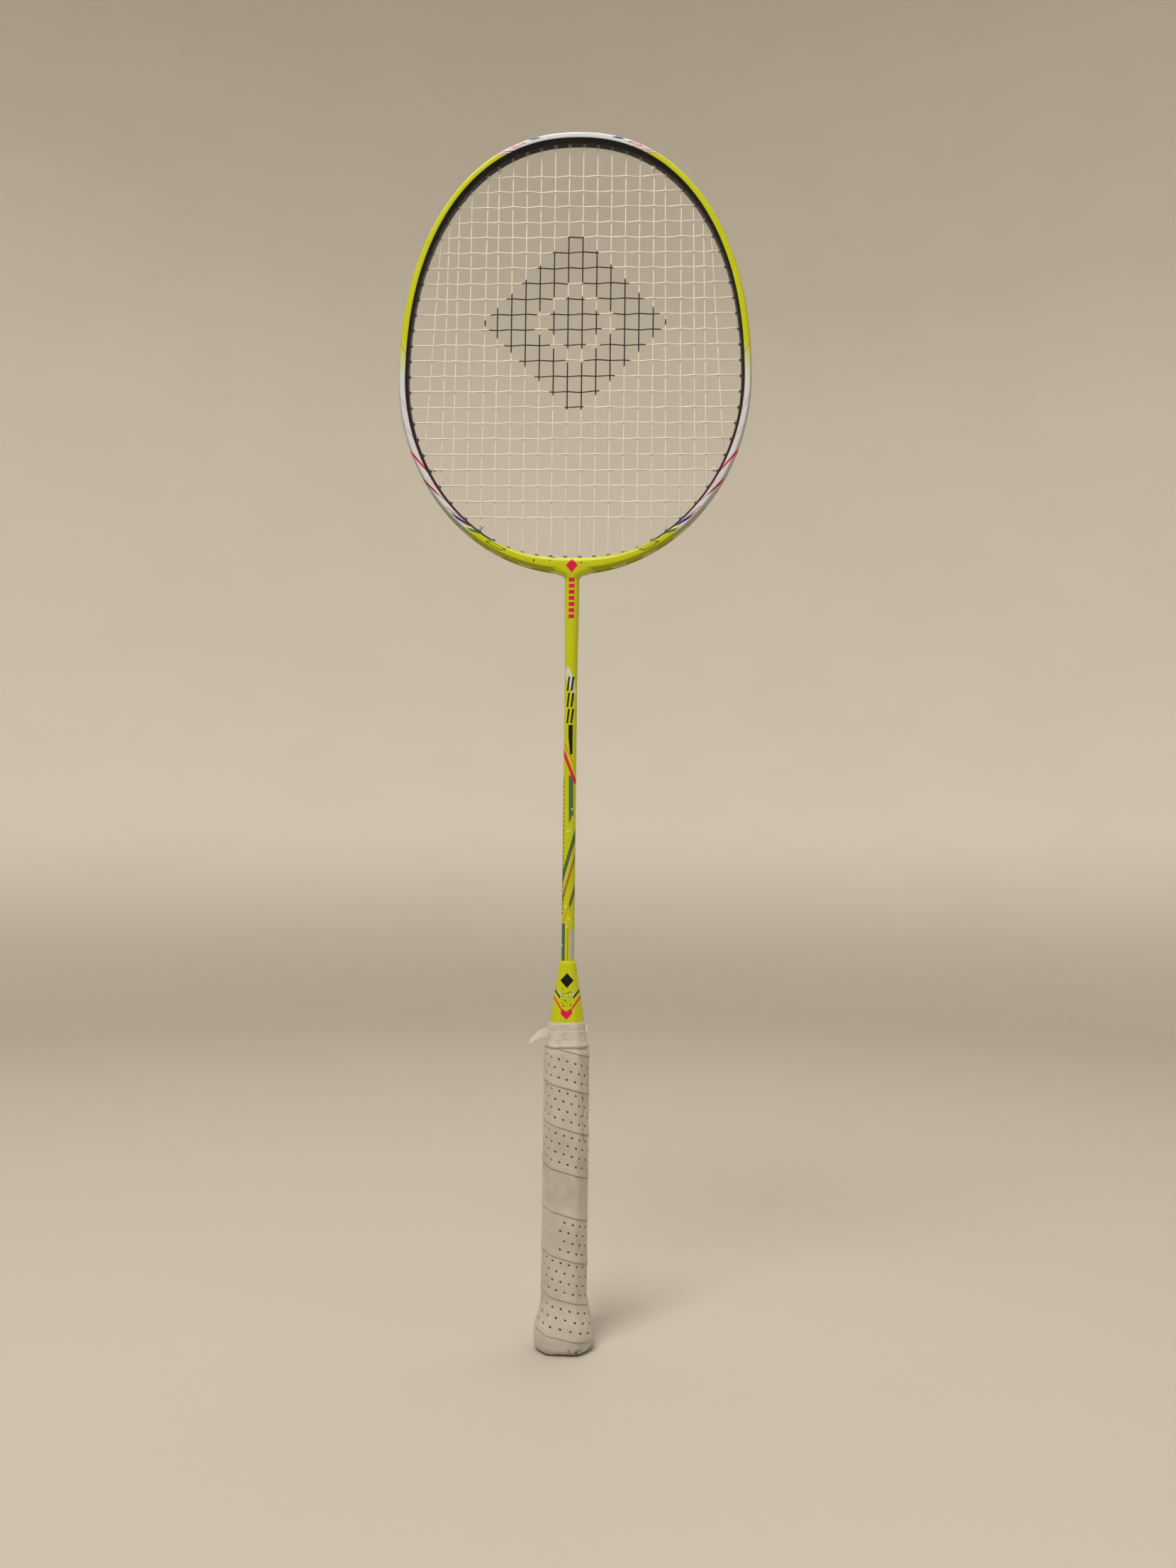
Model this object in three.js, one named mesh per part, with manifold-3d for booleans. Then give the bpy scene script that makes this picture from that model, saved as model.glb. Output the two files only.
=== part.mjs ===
// Badminton racket: hollow moulded head, internal T-joint, tapered shaft, cone, wood handle with its
// wrap, finishing tape and clear film, grommet strips in the string groove, and two strings.
// Millimetres. The racket stands upright on its butt at the origin, +Z towards the head. The head lies
// in the XZ plane and its two string faces look along -Y and +Y.
import * as THREE from 'three';
import { mergeVertices } from 'three/addons/utils/BufferGeometryUtils.js';
import Module from 'manifold-3d';

const wasm = await Module();
wasm.setup();

// ---- Driving dimensions ---------------------------------------------------------------------------
const LENGTH = 675; // butt face to head top
const GAP = 0.3; // clearance between pieces that touch on the real racket

// Outer outline of the head: two half superellipses that meet at the widest height.
const HEAD = { halfWidth: 100, middle: 530, bottom: 417.6, squareTop: 2.2, squareBottom: 1.98, steps: 60 };

// Section of the hoop. Insets are measured from the outer outline inwards, heights from the mid plane.
const RIM = {
  width: 5.9, halfDepth: 5, chamfer: 1.4, outerLip: 2.1, innerLip: 2.4,
  grooveDepth: 2, grooveHalf: 1.3, wall: 1, hollowHalf: 2.2,
};

// The hoop thickens towards the throat, where fillets lead into a round neck.
const THROAT = { thicken: 0.5, reach: 0.42, neckRadius: 4.1, neckBottom: 408.3, fillet: 4, rootDepth: 3.4 };
const TJOINT = { radius: 2.2, bottom: 388, barHalf: 8, barBottom: 422.5, barTop: 424.2, barDepth: 5.2 };

const GROMMET = { bore: 1.1, barrel: 1.7, hole: 2.05, proud: 0.9, webTop: 1.2, webBase: 1.7, webHalf: 1 };

// Strings: pitches at the inner ends of the grommets, counted outwards from the centre or down from the top.
const STRING = { radius: 0.35, apart: 0.45, weave: 0.82, grooveInset: 0.75 };
const MAINS = { perSide: 11, topPitch: 8.1, bottomPitch: 8, ownTop: 6, ownBottom: 7 };
const CROSSES = { count: 23, top: 650, pitch: 9.09 };
// Cross hole that takes the lower end of mains 8, 9, 10 and 11: main 11 skips hole 20.
const SHARED_BELOW = { 8: 23, 9: 22, 10: 21, 11: 19 };
const MAIN_TIE = 20; // cross hole where the two ends of the main string are tied off
const SPARE_HOLE = 2.5; // empty tie-off hole on the left, between cross holes 2 and 3
const KNOT = { radius: 0.85, inset: 8.5, side: 1.4 };

const SHAFT = { radius: 3.5, bore: 2.5, bottom: 120, top: 408, taperStart: 370, sides: 16 };
const CONE = { bottom: 171, top: 203.4, halfWidth: 9.3, topRadius: 4.3, skirtBottom: 158.9, skirtHalf: 9 };
const TAPE = { bottom: 159.1, step: 167, top: 170.7, halfBottom: 11, halfStep: 10.2, halfTop: 9.65 };

// Octagonal handle: half widths across the wide facets' long way; depth and facets follow by ratio.
const OCTAGON = { depth: 0.923, frontFacet: 0.558, sideFacet: 0.415 };
const HANDLE = { top: 158.8, wrapHalf: 12.5, wrapWall: 1.6, coreShoulder: 158.6, neckTop: 169.8, neckHalf: 7.4 };
const BORES = { shaft: 3.8, lower: 5.5, change: 108 };
const BUTT = { plate: 1.6, plugRadius: 5.2, plugTop: 7 };
const FILM = { wall: 0.2, top: 170.2, overTape: 0.895, atTop: 0.79 };
// Heights and widths of the flared butt, relative to the straight grip above it.
const FLARE = [[0, 1.15], [3, 1.26], [8.5, 1.29], [14, 1.22], [20, 1.09], [26, 1]];

// ---- Solids: joining and cutting ------------------------------------------------------------------
function toSolid(geometry) {
  const bare = geometry.clone();
  bare.deleteAttribute('normal');
  bare.deleteAttribute('uv');
  const merged = mergeVertices(bare, 1e-4);
  return new wasm.Manifold(new wasm.Mesh({
    numProp: 3,
    vertProperties: new Float32Array(merged.attributes.position.array),
    triVerts: new Uint32Array(merged.index.array),
  }));
}

function toGeometry(solid) {
  const mesh = solid.getMesh();
  const geometry = new THREE.BufferGeometry();
  geometry.setAttribute('position', new THREE.BufferAttribute(mesh.vertProperties, 3));
  geometry.setIndex(new THREE.BufferAttribute(mesh.triVerts, 1));
  return geometry;
}

const joined = (geometries) => geometries.map(toSolid).reduce((sum, next) => sum.add(next));
const cutBy = (solid, geometries) => geometries.map(toSolid).reduce((left, next) => left.subtract(next), solid);

// ---- Head outline and section ---------------------------------------------------------------------
const RIM_STEP = (2 * Math.PI) / HEAD.steps;
const RIGHT_TOP = Math.PI / 2;

// How much thicker the hoop is at an angle from the head's centre: most at the throat, none elsewhere.
function thickness(angle) {
  const fromThroat = Math.abs(Math.atan2(Math.cos(angle), -Math.sin(angle)));
  return 1 + THROAT.thicken * (1 - THREE.MathUtils.smoothstep(fromThroat, 0, THROAT.reach));
}

// Corner k of the faceted hoop, moved inwards from the outer outline.
function corner(k, inset) {
  const angle = k * RIM_STEP;
  const dir = new THREE.Vector2(Math.cos(angle), Math.sin(angle));
  const isTop = dir.y >= 0;
  const n = isTop ? HEAD.squareTop : HEAD.squareBottom;
  const halfHeight = isTop ? LENGTH - HEAD.middle : HEAD.middle - HEAD.bottom;
  const [u, v] = [Math.abs(dir.x) / HEAD.halfWidth, Math.abs(dir.y) / halfHeight];
  const radius = (u ** n + v ** n) ** (-1 / n);
  const normal = new THREE.Vector2(
    (Math.sign(dir.x) * u ** (n - 1)) / HEAD.halfWidth,
    (Math.sign(dir.y) * v ** (n - 1)) / halfHeight,
  ).normalize();
  const point = dir.multiplyScalar(radius).addScaledVector(normal, -inset * thickness(angle));
  return point.add(new THREE.Vector2(0, HEAD.middle));
}

function rimPoint(angle, inset) {
  const turn = angle / RIM_STEP;
  const k = Math.floor(turn + 1e-9);
  return corner(k, inset).lerp(corner(k + 1, inset), turn - k);
}

function rimPoint3(angle, inset, y) {
  const p = rimPoint(angle, inset);
  return new THREE.Vector3(p.x, y, p.y);
}

// Angles of the facet corners strictly between two angles, in running order.
function cornersBetween(from, to, margin) {
  const [low, high] = [Math.min(from, to) + margin, Math.max(from, to) - margin];
  const angles = [];
  for (let k = Math.ceil(low / RIM_STEP); k * RIM_STEP < high; k++) angles.push(k * RIM_STEP);
  return from < to ? angles : angles.reverse();
}

// A closed ring round the head: the section's front half as [inset, height] pairs, outside first.
function rimRing(frontHalf) {
  const radius = 2 * RIM.width;
  const backHalf = frontHalf.map(([inset, height]) => [inset, -height]).reverse();
  const section = [...frontHalf, ...backHalf, frontHalf[0]];
  const points = section.map(([inset, height]) => new THREE.Vector2(radius - inset, height));
  const ring = new THREE.LatheGeometry(points, HEAD.steps);
  const position = ring.attributes.position;
  for (let i = 0; i < position.count; i++) {
    const [x, y, z] = [position.getX(i), position.getY(i), position.getZ(i)];
    const p = corner(Math.round(Math.atan2(z, x) / RIM_STEP), radius - Math.hypot(x, z));
    position.setXYZ(i, p.x, y, p.y);
  }
  return ring;
}

// A flat band that follows the rim between two angles and two insets, centred on the mid plane.
function rimBand(from, to, outerInset, innerInset, halfWidth) {
  const angles = [from, ...cornersBetween(from, to, 1e-3), to];
  const outer = angles.map((angle) => rimPoint(angle, outerInset));
  const inner = angles.map((angle) => rimPoint(angle, innerInset)).reverse();
  const band = new THREE.Shape([...outer, ...inner]);
  const geometry = new THREE.ExtrudeGeometry(band, { depth: 2 * halfWidth, bevelEnabled: false });
  return geometry.rotateX(Math.PI / 2).translate(0, halfWidth, 0);
}

// A hexagonal prism along the rim's normal, used for string holes, grommet barrels and their bores.
function radialPrism(angle, radius, outerInset, innerInset) {
  const outer = rimPoint3(angle, outerInset, 0);
  const inner = rimPoint3(angle, innerInset, 0);
  const out = outer.clone().sub(inner);
  const depth = out.length();
  out.normalize();
  const across = new THREE.Vector3(0, 1, 0).cross(out);
  const basis = new THREE.Matrix4().makeBasis(across, new THREE.Vector3(0, 1, 0), out).setPosition(inner);
  const hexagon = new THREE.Shape(polygon(6, radius, Math.PI / 2));
  return new THREE.ExtrudeGeometry(hexagon, { depth, bevelEnabled: false }).applyMatrix4(basis);
}

function polygon(sides, radius, start) {
  return Array.from({ length: sides }, (_, i) => {
    const angle = start + (2 * Math.PI * i) / sides;
    return new THREE.Vector2(radius * Math.cos(angle), radius * Math.sin(angle));
  });
}

// ---- String holes ---------------------------------------------------------------------------------
const INNER_END = RIM.width + GROMMET.proud + GAP; // where a string leaves its grommet

// The angle between two angles where a rising measure of the rim passes zero.
function angleWhere(measure, from, to) {
  let [low, high] = [from, to];
  for (let i = 0; i < 40; i++) {
    const mid = (low + high) / 2;
    if (measure(rimPoint(mid, INNER_END)) < 0) low = mid;
    else high = mid;
  }
  return (low + high) / 2;
}

const mirrored = (angle, side) => (side > 0 ? angle : Math.PI - angle);

function crossHole(k, side) {
  const height = CROSSES.top - CROSSES.pitch * (k - 1);
  return mirrored(angleWhere((p) => p.y - height, -RIGHT_TOP, RIGHT_TOP), side);
}

function ownMainHole(i, side, isTop) {
  const x = (isTop ? MAINS.topPitch : MAINS.bottomPitch) * (i - 0.5);
  const angle = isTop
    ? angleWhere((p) => x - p.x, 0, RIGHT_TOP)
    : angleWhere((p) => p.x - x, -RIGHT_TOP, 0);
  return mirrored(angle, side);
}

function mainHole(i, side, isTop) {
  if (isTop) return i <= MAINS.ownTop ? ownMainHole(i, side, true) : crossHole(i - MAINS.ownTop, side);
  return i <= MAINS.ownBottom ? ownMainHole(i, side, false) : crossHole(SHARED_BELOW[i], side);
}

const range = (from, to) => Array.from({ length: to - from + 1 }, (_, i) => from + i);

// Grommet strips: which holes each one lines, in order round the rim.
function stripHoles(side) {
  const crosses = (from, to) => range(from, to).map((k) => crossHole(k, side));
  const upper = crosses(1, 5);
  if (side < 0) upper.push(crossHole(SPARE_HOLE, side));
  return {
    upper,
    side_upper: crosses(6, 12),
    side_lower: crosses(13, 18),
    lower: crosses(19, 23),
    throat: range(1, MAINS.ownBottom).map((i) => ownMainHole(i, side, false)),
  };
}

const STRIPS = {
  grommet_strip_top: [-1, 1].flatMap((side) => range(1, MAINS.ownTop).map((i) => ownMainHole(i, side, true))),
};
for (const [side, word] of [[-1, 'left'], [1, 'right']]) {
  for (const [place, holes] of Object.entries(stripHoles(side))) STRIPS[`grommet_strip_${place}_${word}`] = holes;
}

// ---- Head frame and T-joint -----------------------------------------------------------------------
function throatBlock() {
  const { neckRadius, fillet, rootDepth } = THROAT;
  const centre = neckRadius + fillet;
  const rootHeight = HEAD.bottom + rootDepth;
  const arc = (x, from, to) => (
    new THREE.EllipseCurve(x, HEAD.bottom - fillet, fillet, fillet, from, to).getPoints(4)
  );
  const outline = [
    ...arc(-centre, 0, Math.PI / 2), new THREE.Vector2(-centre, rootHeight),
    new THREE.Vector2(centre, rootHeight), ...arc(centre, Math.PI / 2, Math.PI),
  ];
  const bevel = 1.5;
  const depth = 2 * (neckRadius - bevel);
  const block = new THREE.ExtrudeGeometry(new THREE.Shape(outline), {
    depth, bevelThickness: bevel, bevelSize: bevel, bevelOffset: -bevel, bevelSegments: 2,
  });
  return block.rotateX(Math.PI / 2).translate(0, depth / 2, 0);
}

function rod(radius, bottom, top, sides) {
  const geometry = new THREE.CylinderGeometry(radius, radius, top - bottom, sides);
  return geometry.rotateX(Math.PI / 2).translate(0, 0, (top + bottom) / 2);
}

function headFrame() {
  const { width, halfDepth, chamfer, outerLip, innerLip, grooveDepth, grooveHalf, wall, hollowHalf } = RIM;
  const hoop = rimRing([
    [grooveDepth, grooveHalf], [0, outerLip], [chamfer, halfDepth], [width - chamfer, halfDepth], [width, innerLip],
  ]);
  const hollow = rimRing([
    [grooveDepth + wall, halfDepth - wall], [width - chamfer - wall / 2, halfDepth - wall], [width - wall, hollowHalf],
  ]);
  const neck = rod(THROAT.neckRadius, THROAT.neckBottom, HEAD.bottom + THROAT.rootDepth, SHAFT.sides);
  const boreTop = HEAD.bottom + grooveDepth + 3 * wall;
  const neckBore = rod(TJOINT.radius + GAP, THROAT.neckBottom - 1, boreTop, 12);
  // The string groove runs on through the fillets, from just outside the neck.
  const grooves = [-1, 1].map((side) => rimBand(
    mirrored(angleWhere((p) => p.x - THROAT.neckRadius - 0.6, -RIGHT_TOP, 0), side),
    mirrored(angleWhere((p) => p.x - 2 * THROAT.neckRadius - THROAT.fillet, -RIGHT_TOP, 0), side),
    -THROAT.fillet, grooveDepth, grooveHalf,
  ));
  const holes = Object.values(STRIPS).flat().map((angle) => radialPrism(angle, GROMMET.hole, -1.5, width + 2));
  const outside = joined([hoop, throatBlock(), neck]);
  return toGeometry(cutBy(outside, [hollow, neckBore, ...grooves, ...holes]));
}

function tJoint() {
  const peg = rod(TJOINT.radius, TJOINT.bottom, TJOINT.barBottom + 1, 12);
  const barHeight = TJOINT.barTop - TJOINT.barBottom;
  const bar = new THREE.BoxGeometry(2 * TJOINT.barHalf, TJOINT.barDepth, barHeight);
  bar.translate(0, 0, TJOINT.barBottom + barHeight / 2);
  const passages = [-1, 1].map((side) => radialPrism(ownMainHole(1, side, false), GROMMET.hole, 0, RIM.width));
  return toGeometry(cutBy(joined([peg, bar]), passages));
}

// ---- Grommet strips -------------------------------------------------------------------------------
function grommetStrip(angles) {
  const [first, last] = [Math.min(...angles), Math.max(...angles)];
  const web = rimBand(first, last, GROMMET.webTop, GROMMET.webBase, GROMMET.webHalf);
  const barrelEnd = RIM.width + GROMMET.proud;
  const barrels = angles.map((angle) => radialPrism(angle, GROMMET.barrel, GROMMET.webTop, barrelEnd));
  const bores = angles.map((angle) => radialPrism(angle, GROMMET.bore, GROMMET.webTop - 1, barrelEnd + 1));
  return toGeometry(cutBy(joined([web, ...barrels]), bores));
}

// ---- Strings --------------------------------------------------------------------------------------
// A polyline path whose steps fall exactly on its points.
class PointPath extends THREE.Curve {
  constructor(points) {
    super();
    this.points = points;
  }

  getPoint(t) {
    const at = t * (this.points.length - 1);
    const k = Math.min(Math.floor(at + 1e-9), this.points.length - 2);
    return this.points[k].clone().lerp(this.points[k + 1], at - k);
  }

  getPointAt(u) {
    return this.getPoint(u);
  }

  getTangentAt(u) {
    const k = Math.round(u * (this.points.length - 1));
    const here = this.points[k];
    const before = this.points[Math.max(k - 1, 0)];
    const after = this.points[Math.min(k + 1, this.points.length - 1)];
    const arriving = here.clone().sub(before).normalize();
    return arriving.add(after.clone().sub(here).normalize()).normalize();
  }
}

function tube(points, radius, sides) {
  const section = new THREE.Shape(polygon(sides, radius, Math.PI / sides));
  return new THREE.ExtrudeGeometry(section, { steps: points.length - 1, extrudePath: new PointPath(points) });
}

// From one hole to the next along the groove, out of the first grommet and into the second.
function grooveRun(from, to, y) {
  const turn = Math.sign(to - from) * (2 * STRING.radius) / HEAD.halfWidth;
  const bottom = 2 * STRING.radius + STRING.grooveInset;
  return [
    rimPoint3(from, bottom, y),
    rimPoint3(from + turn, STRING.grooveInset, y),
    ...cornersBetween(from, to, 2 * Math.abs(turn)).map((angle) => rimPoint3(angle, STRING.grooveInset, y)),
    rimPoint3(to - turn, STRING.grooveInset, y),
    rimPoint3(to, bottom, y),
  ];
}

// A string's whole route: knot, then groove and bed in turn through its holes, then the other knot.
function stringRoute(holes, y, acrossBed) {
  const knot = (angle) => rimPoint3(angle, KNOT.inset, Math.sign(y) * KNOT.side);
  const points = [knot(holes[0]), rimPoint3(holes[0], INNER_END, y)];
  for (let i = 0; i < holes.length; i += 2) {
    points.push(...grooveRun(holes[i], holes[i + 1], y), rimPoint3(holes[i + 1], INNER_END, y));
    if (i + 2 < holes.length) {
      points.push(...acrossBed(holes[i + 1], holes[i + 2]), rimPoint3(holes[i + 2], INNER_END, y));
    }
  }
  points.push(knot(holes.at(-1)));
  return points;
}

function knottedString(points, sides) {
  const knots = [points[0], points.at(-1)].map((point) => (
    new THREE.IcosahedronGeometry(KNOT.radius).translate(point.x, point.y, point.z)
  ));
  return toGeometry(joined([tube(points, STRING.radius, sides), ...knots]));
}

function mainString() {
  const leftToRight = [
    ...range(1, MAINS.perSide).reverse().map((i) => [i, -1]),
    ...range(1, MAINS.perSide).map((i) => [i, 1]),
  ];
  const holes = [crossHole(MAIN_TIE, -1)];
  leftToRight.forEach(([i, side], index) => {
    const upwards = index % 2 === 0;
    holes.push(mainHole(i, side, !upwards), mainHole(i, side, upwards));
  });
  holes.push(crossHole(MAIN_TIE, 1));
  const settle = 3; // length over which a main moves from its side of the grommet to the mid plane
  const straight = (from, to) => {
    const [a, b] = [rimPoint3(from, INNER_END, 0), rimPoint3(to, INNER_END, 0)];
    const share = settle / a.distanceTo(b);
    return [a.clone().lerp(b, share), a.clone().lerp(b, 1 - share)];
  };
  return knottedString(stringRoute(holes, STRING.apart, straight), 4);
}

// Points where cross k passes the mains, in order from the left, weaving in front of and behind them.
function weavePoints(k) {
  const height = rimPoint(crossHole(k, 1), INNER_END).y;
  const reach = rimPoint(crossHole(k, 1), INNER_END).x - 2 * STRING.radius;
  const points = [];
  for (const side of [-1, 1]) {
    for (const i of range(1, MAINS.perSide)) {
      const [top, bottom] = [true, false].map((isTop) => rimPoint(mainHole(i, side, isTop), INNER_END));
      const x = THREE.MathUtils.mapLinear(height, bottom.y, top.y, bottom.x, top.x);
      const isCrossed = height < top.y - 1 && height > bottom.y + 1 && Math.abs(x) < reach;
      const order = side > 0 ? i : 1 - i;
      const y = (order + k) % 2 === 0 ? STRING.weave : -STRING.weave;
      if (isCrossed) points.push(new THREE.Vector3(x, y, height));
    }
  }
  return points.sort((a, b) => a.x - b.x);
}

function crossString() {
  const holes = [mainHole(MAINS.ownTop, 1, true)];
  for (const k of range(1, CROSSES.count)) {
    const start = k % 2 === 1 ? 1 : -1;
    holes.push(crossHole(k, start), crossHole(k, -start));
  }
  holes.push(mainHole(MAINS.ownBottom, -1, false));
  let k = 0;
  const woven = () => {
    k += 1;
    return k % 2 === 1 ? weavePoints(k).reverse() : weavePoints(k);
  };
  return knottedString(stringRoute(holes, -STRING.apart, woven), 4);
}

// ---- Shaft, cone and handle -----------------------------------------------------------------------
function octagon(halfWidth) {
  const halfDepth = halfWidth * OCTAGON.depth;
  const [front, side] = [halfWidth * OCTAGON.frontFacet, halfDepth * OCTAGON.sideFacet];
  return [
    [halfWidth, -side], [halfWidth, side], [front, halfDepth], [-front, halfDepth],
    [-halfWidth, side], [-halfWidth, -side], [-front, -halfDepth], [front, -halfDepth],
  ].map(([x, y]) => new THREE.Vector2(x, y));
}

// An octagonal loft through [height, scale] levels, hollow where an inner half width is given.
function octagonLoft(halfWidth, levels, innerHalf) {
  const shape = new THREE.Shape(octagon(halfWidth));
  if (innerHalf) shape.holes.push(new THREE.Path(octagon(innerHalf)));
  const steps = levels.length - 1;
  const geometry = new THREE.ExtrudeGeometry(shape, { depth: steps, steps, bevelEnabled: false });
  const position = geometry.attributes.position;
  for (let i = 0; i < position.count; i++) {
    const [height, scale] = levels[Math.round(position.getZ(i))];
    position.setXYZ(i, position.getX(i) * scale, position.getY(i) * scale, height);
  }
  return geometry;
}

// The flare's levels between two heights, with its width interpolated at both ends.
function gripLevels(from, to) {
  const scaleAt = (height) => {
    const above = FLARE.findIndex(([level]) => level > height);
    if (above < 0) return 1;
    const [[low, lowScale], [high, highScale]] = [FLARE[above - 1], FLARE[above]];
    return THREE.MathUtils.mapLinear(height, low, high, lowScale, highScale);
  };
  const between = FLARE.filter(([level]) => level > from && level < to);
  return [[from, scaleAt(from)], ...between, [to, scaleAt(to)]];
}

function shaft() {
  const { radius, bore, bottom, top, taperStart, sides } = SHAFT;
  const halfway = (taperStart + top) / 2;
  const profile = [
    [bore, bottom], [radius, bottom], [radius, taperStart],
    [radius + 0.15, halfway], [THROAT.neckRadius, top], [bore, top], [bore, bottom],
  ].map(([x, y]) => new THREE.Vector2(x, y));
  return new THREE.LatheGeometry(profile, sides).rotateX(Math.PI / 2);
}

// Round where the shaft enters, octagonal where it meets the handle, with a skirt under the tape.
function cone() {
  const { bottom, top, halfWidth, topRadius, skirtBottom, skirtHalf } = CONE;
  const roundBottom = 10.6; // just outside the octagon's corners
  const round = new THREE.CylinderGeometry(topRadius, roundBottom, top - bottom, SHAFT.sides);
  round.rotateX(Math.PI / 2).translate(0, 0, (top + bottom) / 2);
  const facets = octagonLoft(halfWidth, [[bottom, 1], [top, (topRadius + GAP) / halfWidth]]);
  const skirt = octagonLoft(skirtHalf, [[skirtBottom, 1], [bottom + 1, 1]]);
  const pocket = octagonLoft(HANDLE.neckHalf + GAP, [[skirtBottom - 1, 1], [HANDLE.neckTop + GAP, 1]]);
  const body = toSolid(round).intersect(toSolid(facets)).add(toSolid(skirt));
  return toGeometry(cutBy(body, [pocket, rod(BORES.shaft, skirtBottom, top + 1, SHAFT.sides)]));
}

function handleCore() {
  const half = HANDLE.wrapHalf - HANDLE.wrapWall - GAP;
  const body = octagonLoft(half, gripLevels(BUTT.plate + GAP, HANDLE.coreShoulder));
  const neck = octagonLoft(HANDLE.neckHalf, [[HANDLE.coreShoulder - 1, 1], [HANDLE.neckTop, 1]]);
  const shaftBore = rod(BORES.shaft, BORES.change - 1, HANDLE.neckTop + 1, SHAFT.sides);
  const lowerBore = rod(BORES.lower, -1, BORES.change, SHAFT.sides);
  return toGeometry(cutBy(joined([body, neck]), [shaftBore, lowerBore]));
}

function buttCap() {
  const half = HANDLE.wrapHalf - HANDLE.wrapWall - GAP;
  const plate = octagonLoft(half, [[0, FLARE[0][1]], [BUTT.plate, FLARE[0][1]]]);
  return toGeometry(joined([plate, rod(BUTT.plugRadius, BUTT.plate - 0.5, BUTT.plugTop, SHAFT.sides)]));
}

function gripWrap() {
  return octagonLoft(HANDLE.wrapHalf, gripLevels(GAP, HANDLE.top), HANDLE.wrapHalf - HANDLE.wrapWall);
}

function finishingTape() {
  const levels = [[TAPE.bottom, TAPE.halfBottom], [TAPE.step, TAPE.halfStep], [TAPE.top, TAPE.halfTop]];
  const scaled = levels.map(([height, half]) => [height, half / TAPE.halfTop]);
  return octagonLoft(TAPE.halfTop, scaled, CONE.skirtHalf + GAP);
}

function clearFilm() {
  const inner = HANDLE.wrapHalf + GAP;
  const over = [[HANDLE.top + 3 * GAP, FILM.overTape], [FILM.top, FILM.atTop]];
  const levels = [...gripLevels(GAP, HANDLE.top + GAP), ...over];
  return octagonLoft(inner + FILM.wall, levels, inner);
}

// ---- Assembly -------------------------------------------------------------------------------------
const finishes = {
  paintedCarbon: { color: 0xb9c926, roughness: 0.28, metalness: 0.05 },
  jointMetal: { color: 0x9a9da0, roughness: 0.4, metalness: 0.9 },
  coneAbs: { color: 0xb4c524, roughness: 0.35, metalness: 0 },
  wood: { color: 0xc9a877, roughness: 0.75, metalness: 0 },
  capPlastic: { color: 0x2b2b2a, roughness: 0.5, metalness: 0 },
  wrapFoam: { color: 0xe6dcc4, roughness: 0.65, metalness: 0 },
  tapeVinyl: { color: 0xd9d2bd, roughness: 0.45, metalness: 0 },
  filmClear: { color: 0xf4f1e6, roughness: 0.12, metalness: 0, transparent: true, opacity: 0.25 },
  grommetNylon: { color: 0xe9e6d4, roughness: 0.45, metalness: 0 },
  stringNylon: { color: 0xf0ead6, roughness: 0.4, metalness: 0 },
};

const racket = new THREE.Group();

function addPiece(name, geometry, finish) {
  const mesh = new THREE.Mesh(geometry, new THREE.MeshStandardMaterial(finishes[finish]));
  mesh.name = name;
  racket.add(mesh);
}

addPiece('head_frame', headFrame(), 'paintedCarbon');
addPiece('t_joint', tJoint(), 'jointMetal');
addPiece('shaft', shaft(), 'paintedCarbon');
addPiece('cone', cone(), 'coneAbs');
addPiece('handle_core', handleCore(), 'wood');
addPiece('butt_cap', buttCap(), 'capPlastic');
addPiece('grip_wrap', gripWrap(), 'wrapFoam');
addPiece('finishing_tape', finishingTape(), 'tapeVinyl');
addPiece('clear_film', clearFilm(), 'filmClear');
for (const [name, holes] of Object.entries(STRIPS)) addPiece(name, grommetStrip(holes), 'grommetNylon');
addPiece('main_string', mainString(), 'stringNylon');
addPiece('cross_string', crossString(), 'stringNylon');

export default racket;
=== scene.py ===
import math

import bmesh
import bpy
import numpy as np
from mathutils import Matrix, Vector


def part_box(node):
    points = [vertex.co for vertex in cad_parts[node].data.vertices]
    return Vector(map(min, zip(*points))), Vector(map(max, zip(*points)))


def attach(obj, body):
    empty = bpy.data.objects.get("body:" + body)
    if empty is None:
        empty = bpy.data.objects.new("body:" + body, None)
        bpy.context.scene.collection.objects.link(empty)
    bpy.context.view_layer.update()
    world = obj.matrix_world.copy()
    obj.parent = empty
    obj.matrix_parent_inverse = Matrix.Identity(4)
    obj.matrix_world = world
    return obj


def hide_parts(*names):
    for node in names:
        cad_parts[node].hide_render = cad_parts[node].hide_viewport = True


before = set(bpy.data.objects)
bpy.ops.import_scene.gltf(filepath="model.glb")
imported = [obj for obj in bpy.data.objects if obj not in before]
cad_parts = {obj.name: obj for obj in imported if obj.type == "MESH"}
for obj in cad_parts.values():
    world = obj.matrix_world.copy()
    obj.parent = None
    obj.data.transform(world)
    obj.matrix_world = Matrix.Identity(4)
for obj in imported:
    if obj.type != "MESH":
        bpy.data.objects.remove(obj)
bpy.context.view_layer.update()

MM = 0.001


def box_mm(node):
    """A CAD node's lowest and highest corner, in millimetres."""
    return [np.array(corner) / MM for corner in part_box(node)]


# ---- Sizes: from the frame, with the design's own proportions ---------------------------------------
FRAME_LOW, FRAME_HIGH = box_mm("head_frame")
SHAFT_LOW, SHAFT_HIGH = box_mm("shaft")
CONE_LOW, CONE_HIGH = box_mm("cone")
TAPE_HIGH = box_mm("finishing_tape")[1]
WRAP_LOW, WRAP_HIGH = box_mm("grip_wrap")
FILM_LOW, FILM_HIGH = box_mm("clear_film")
CAP_HIGH = box_mm("butt_cap")[1]

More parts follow.
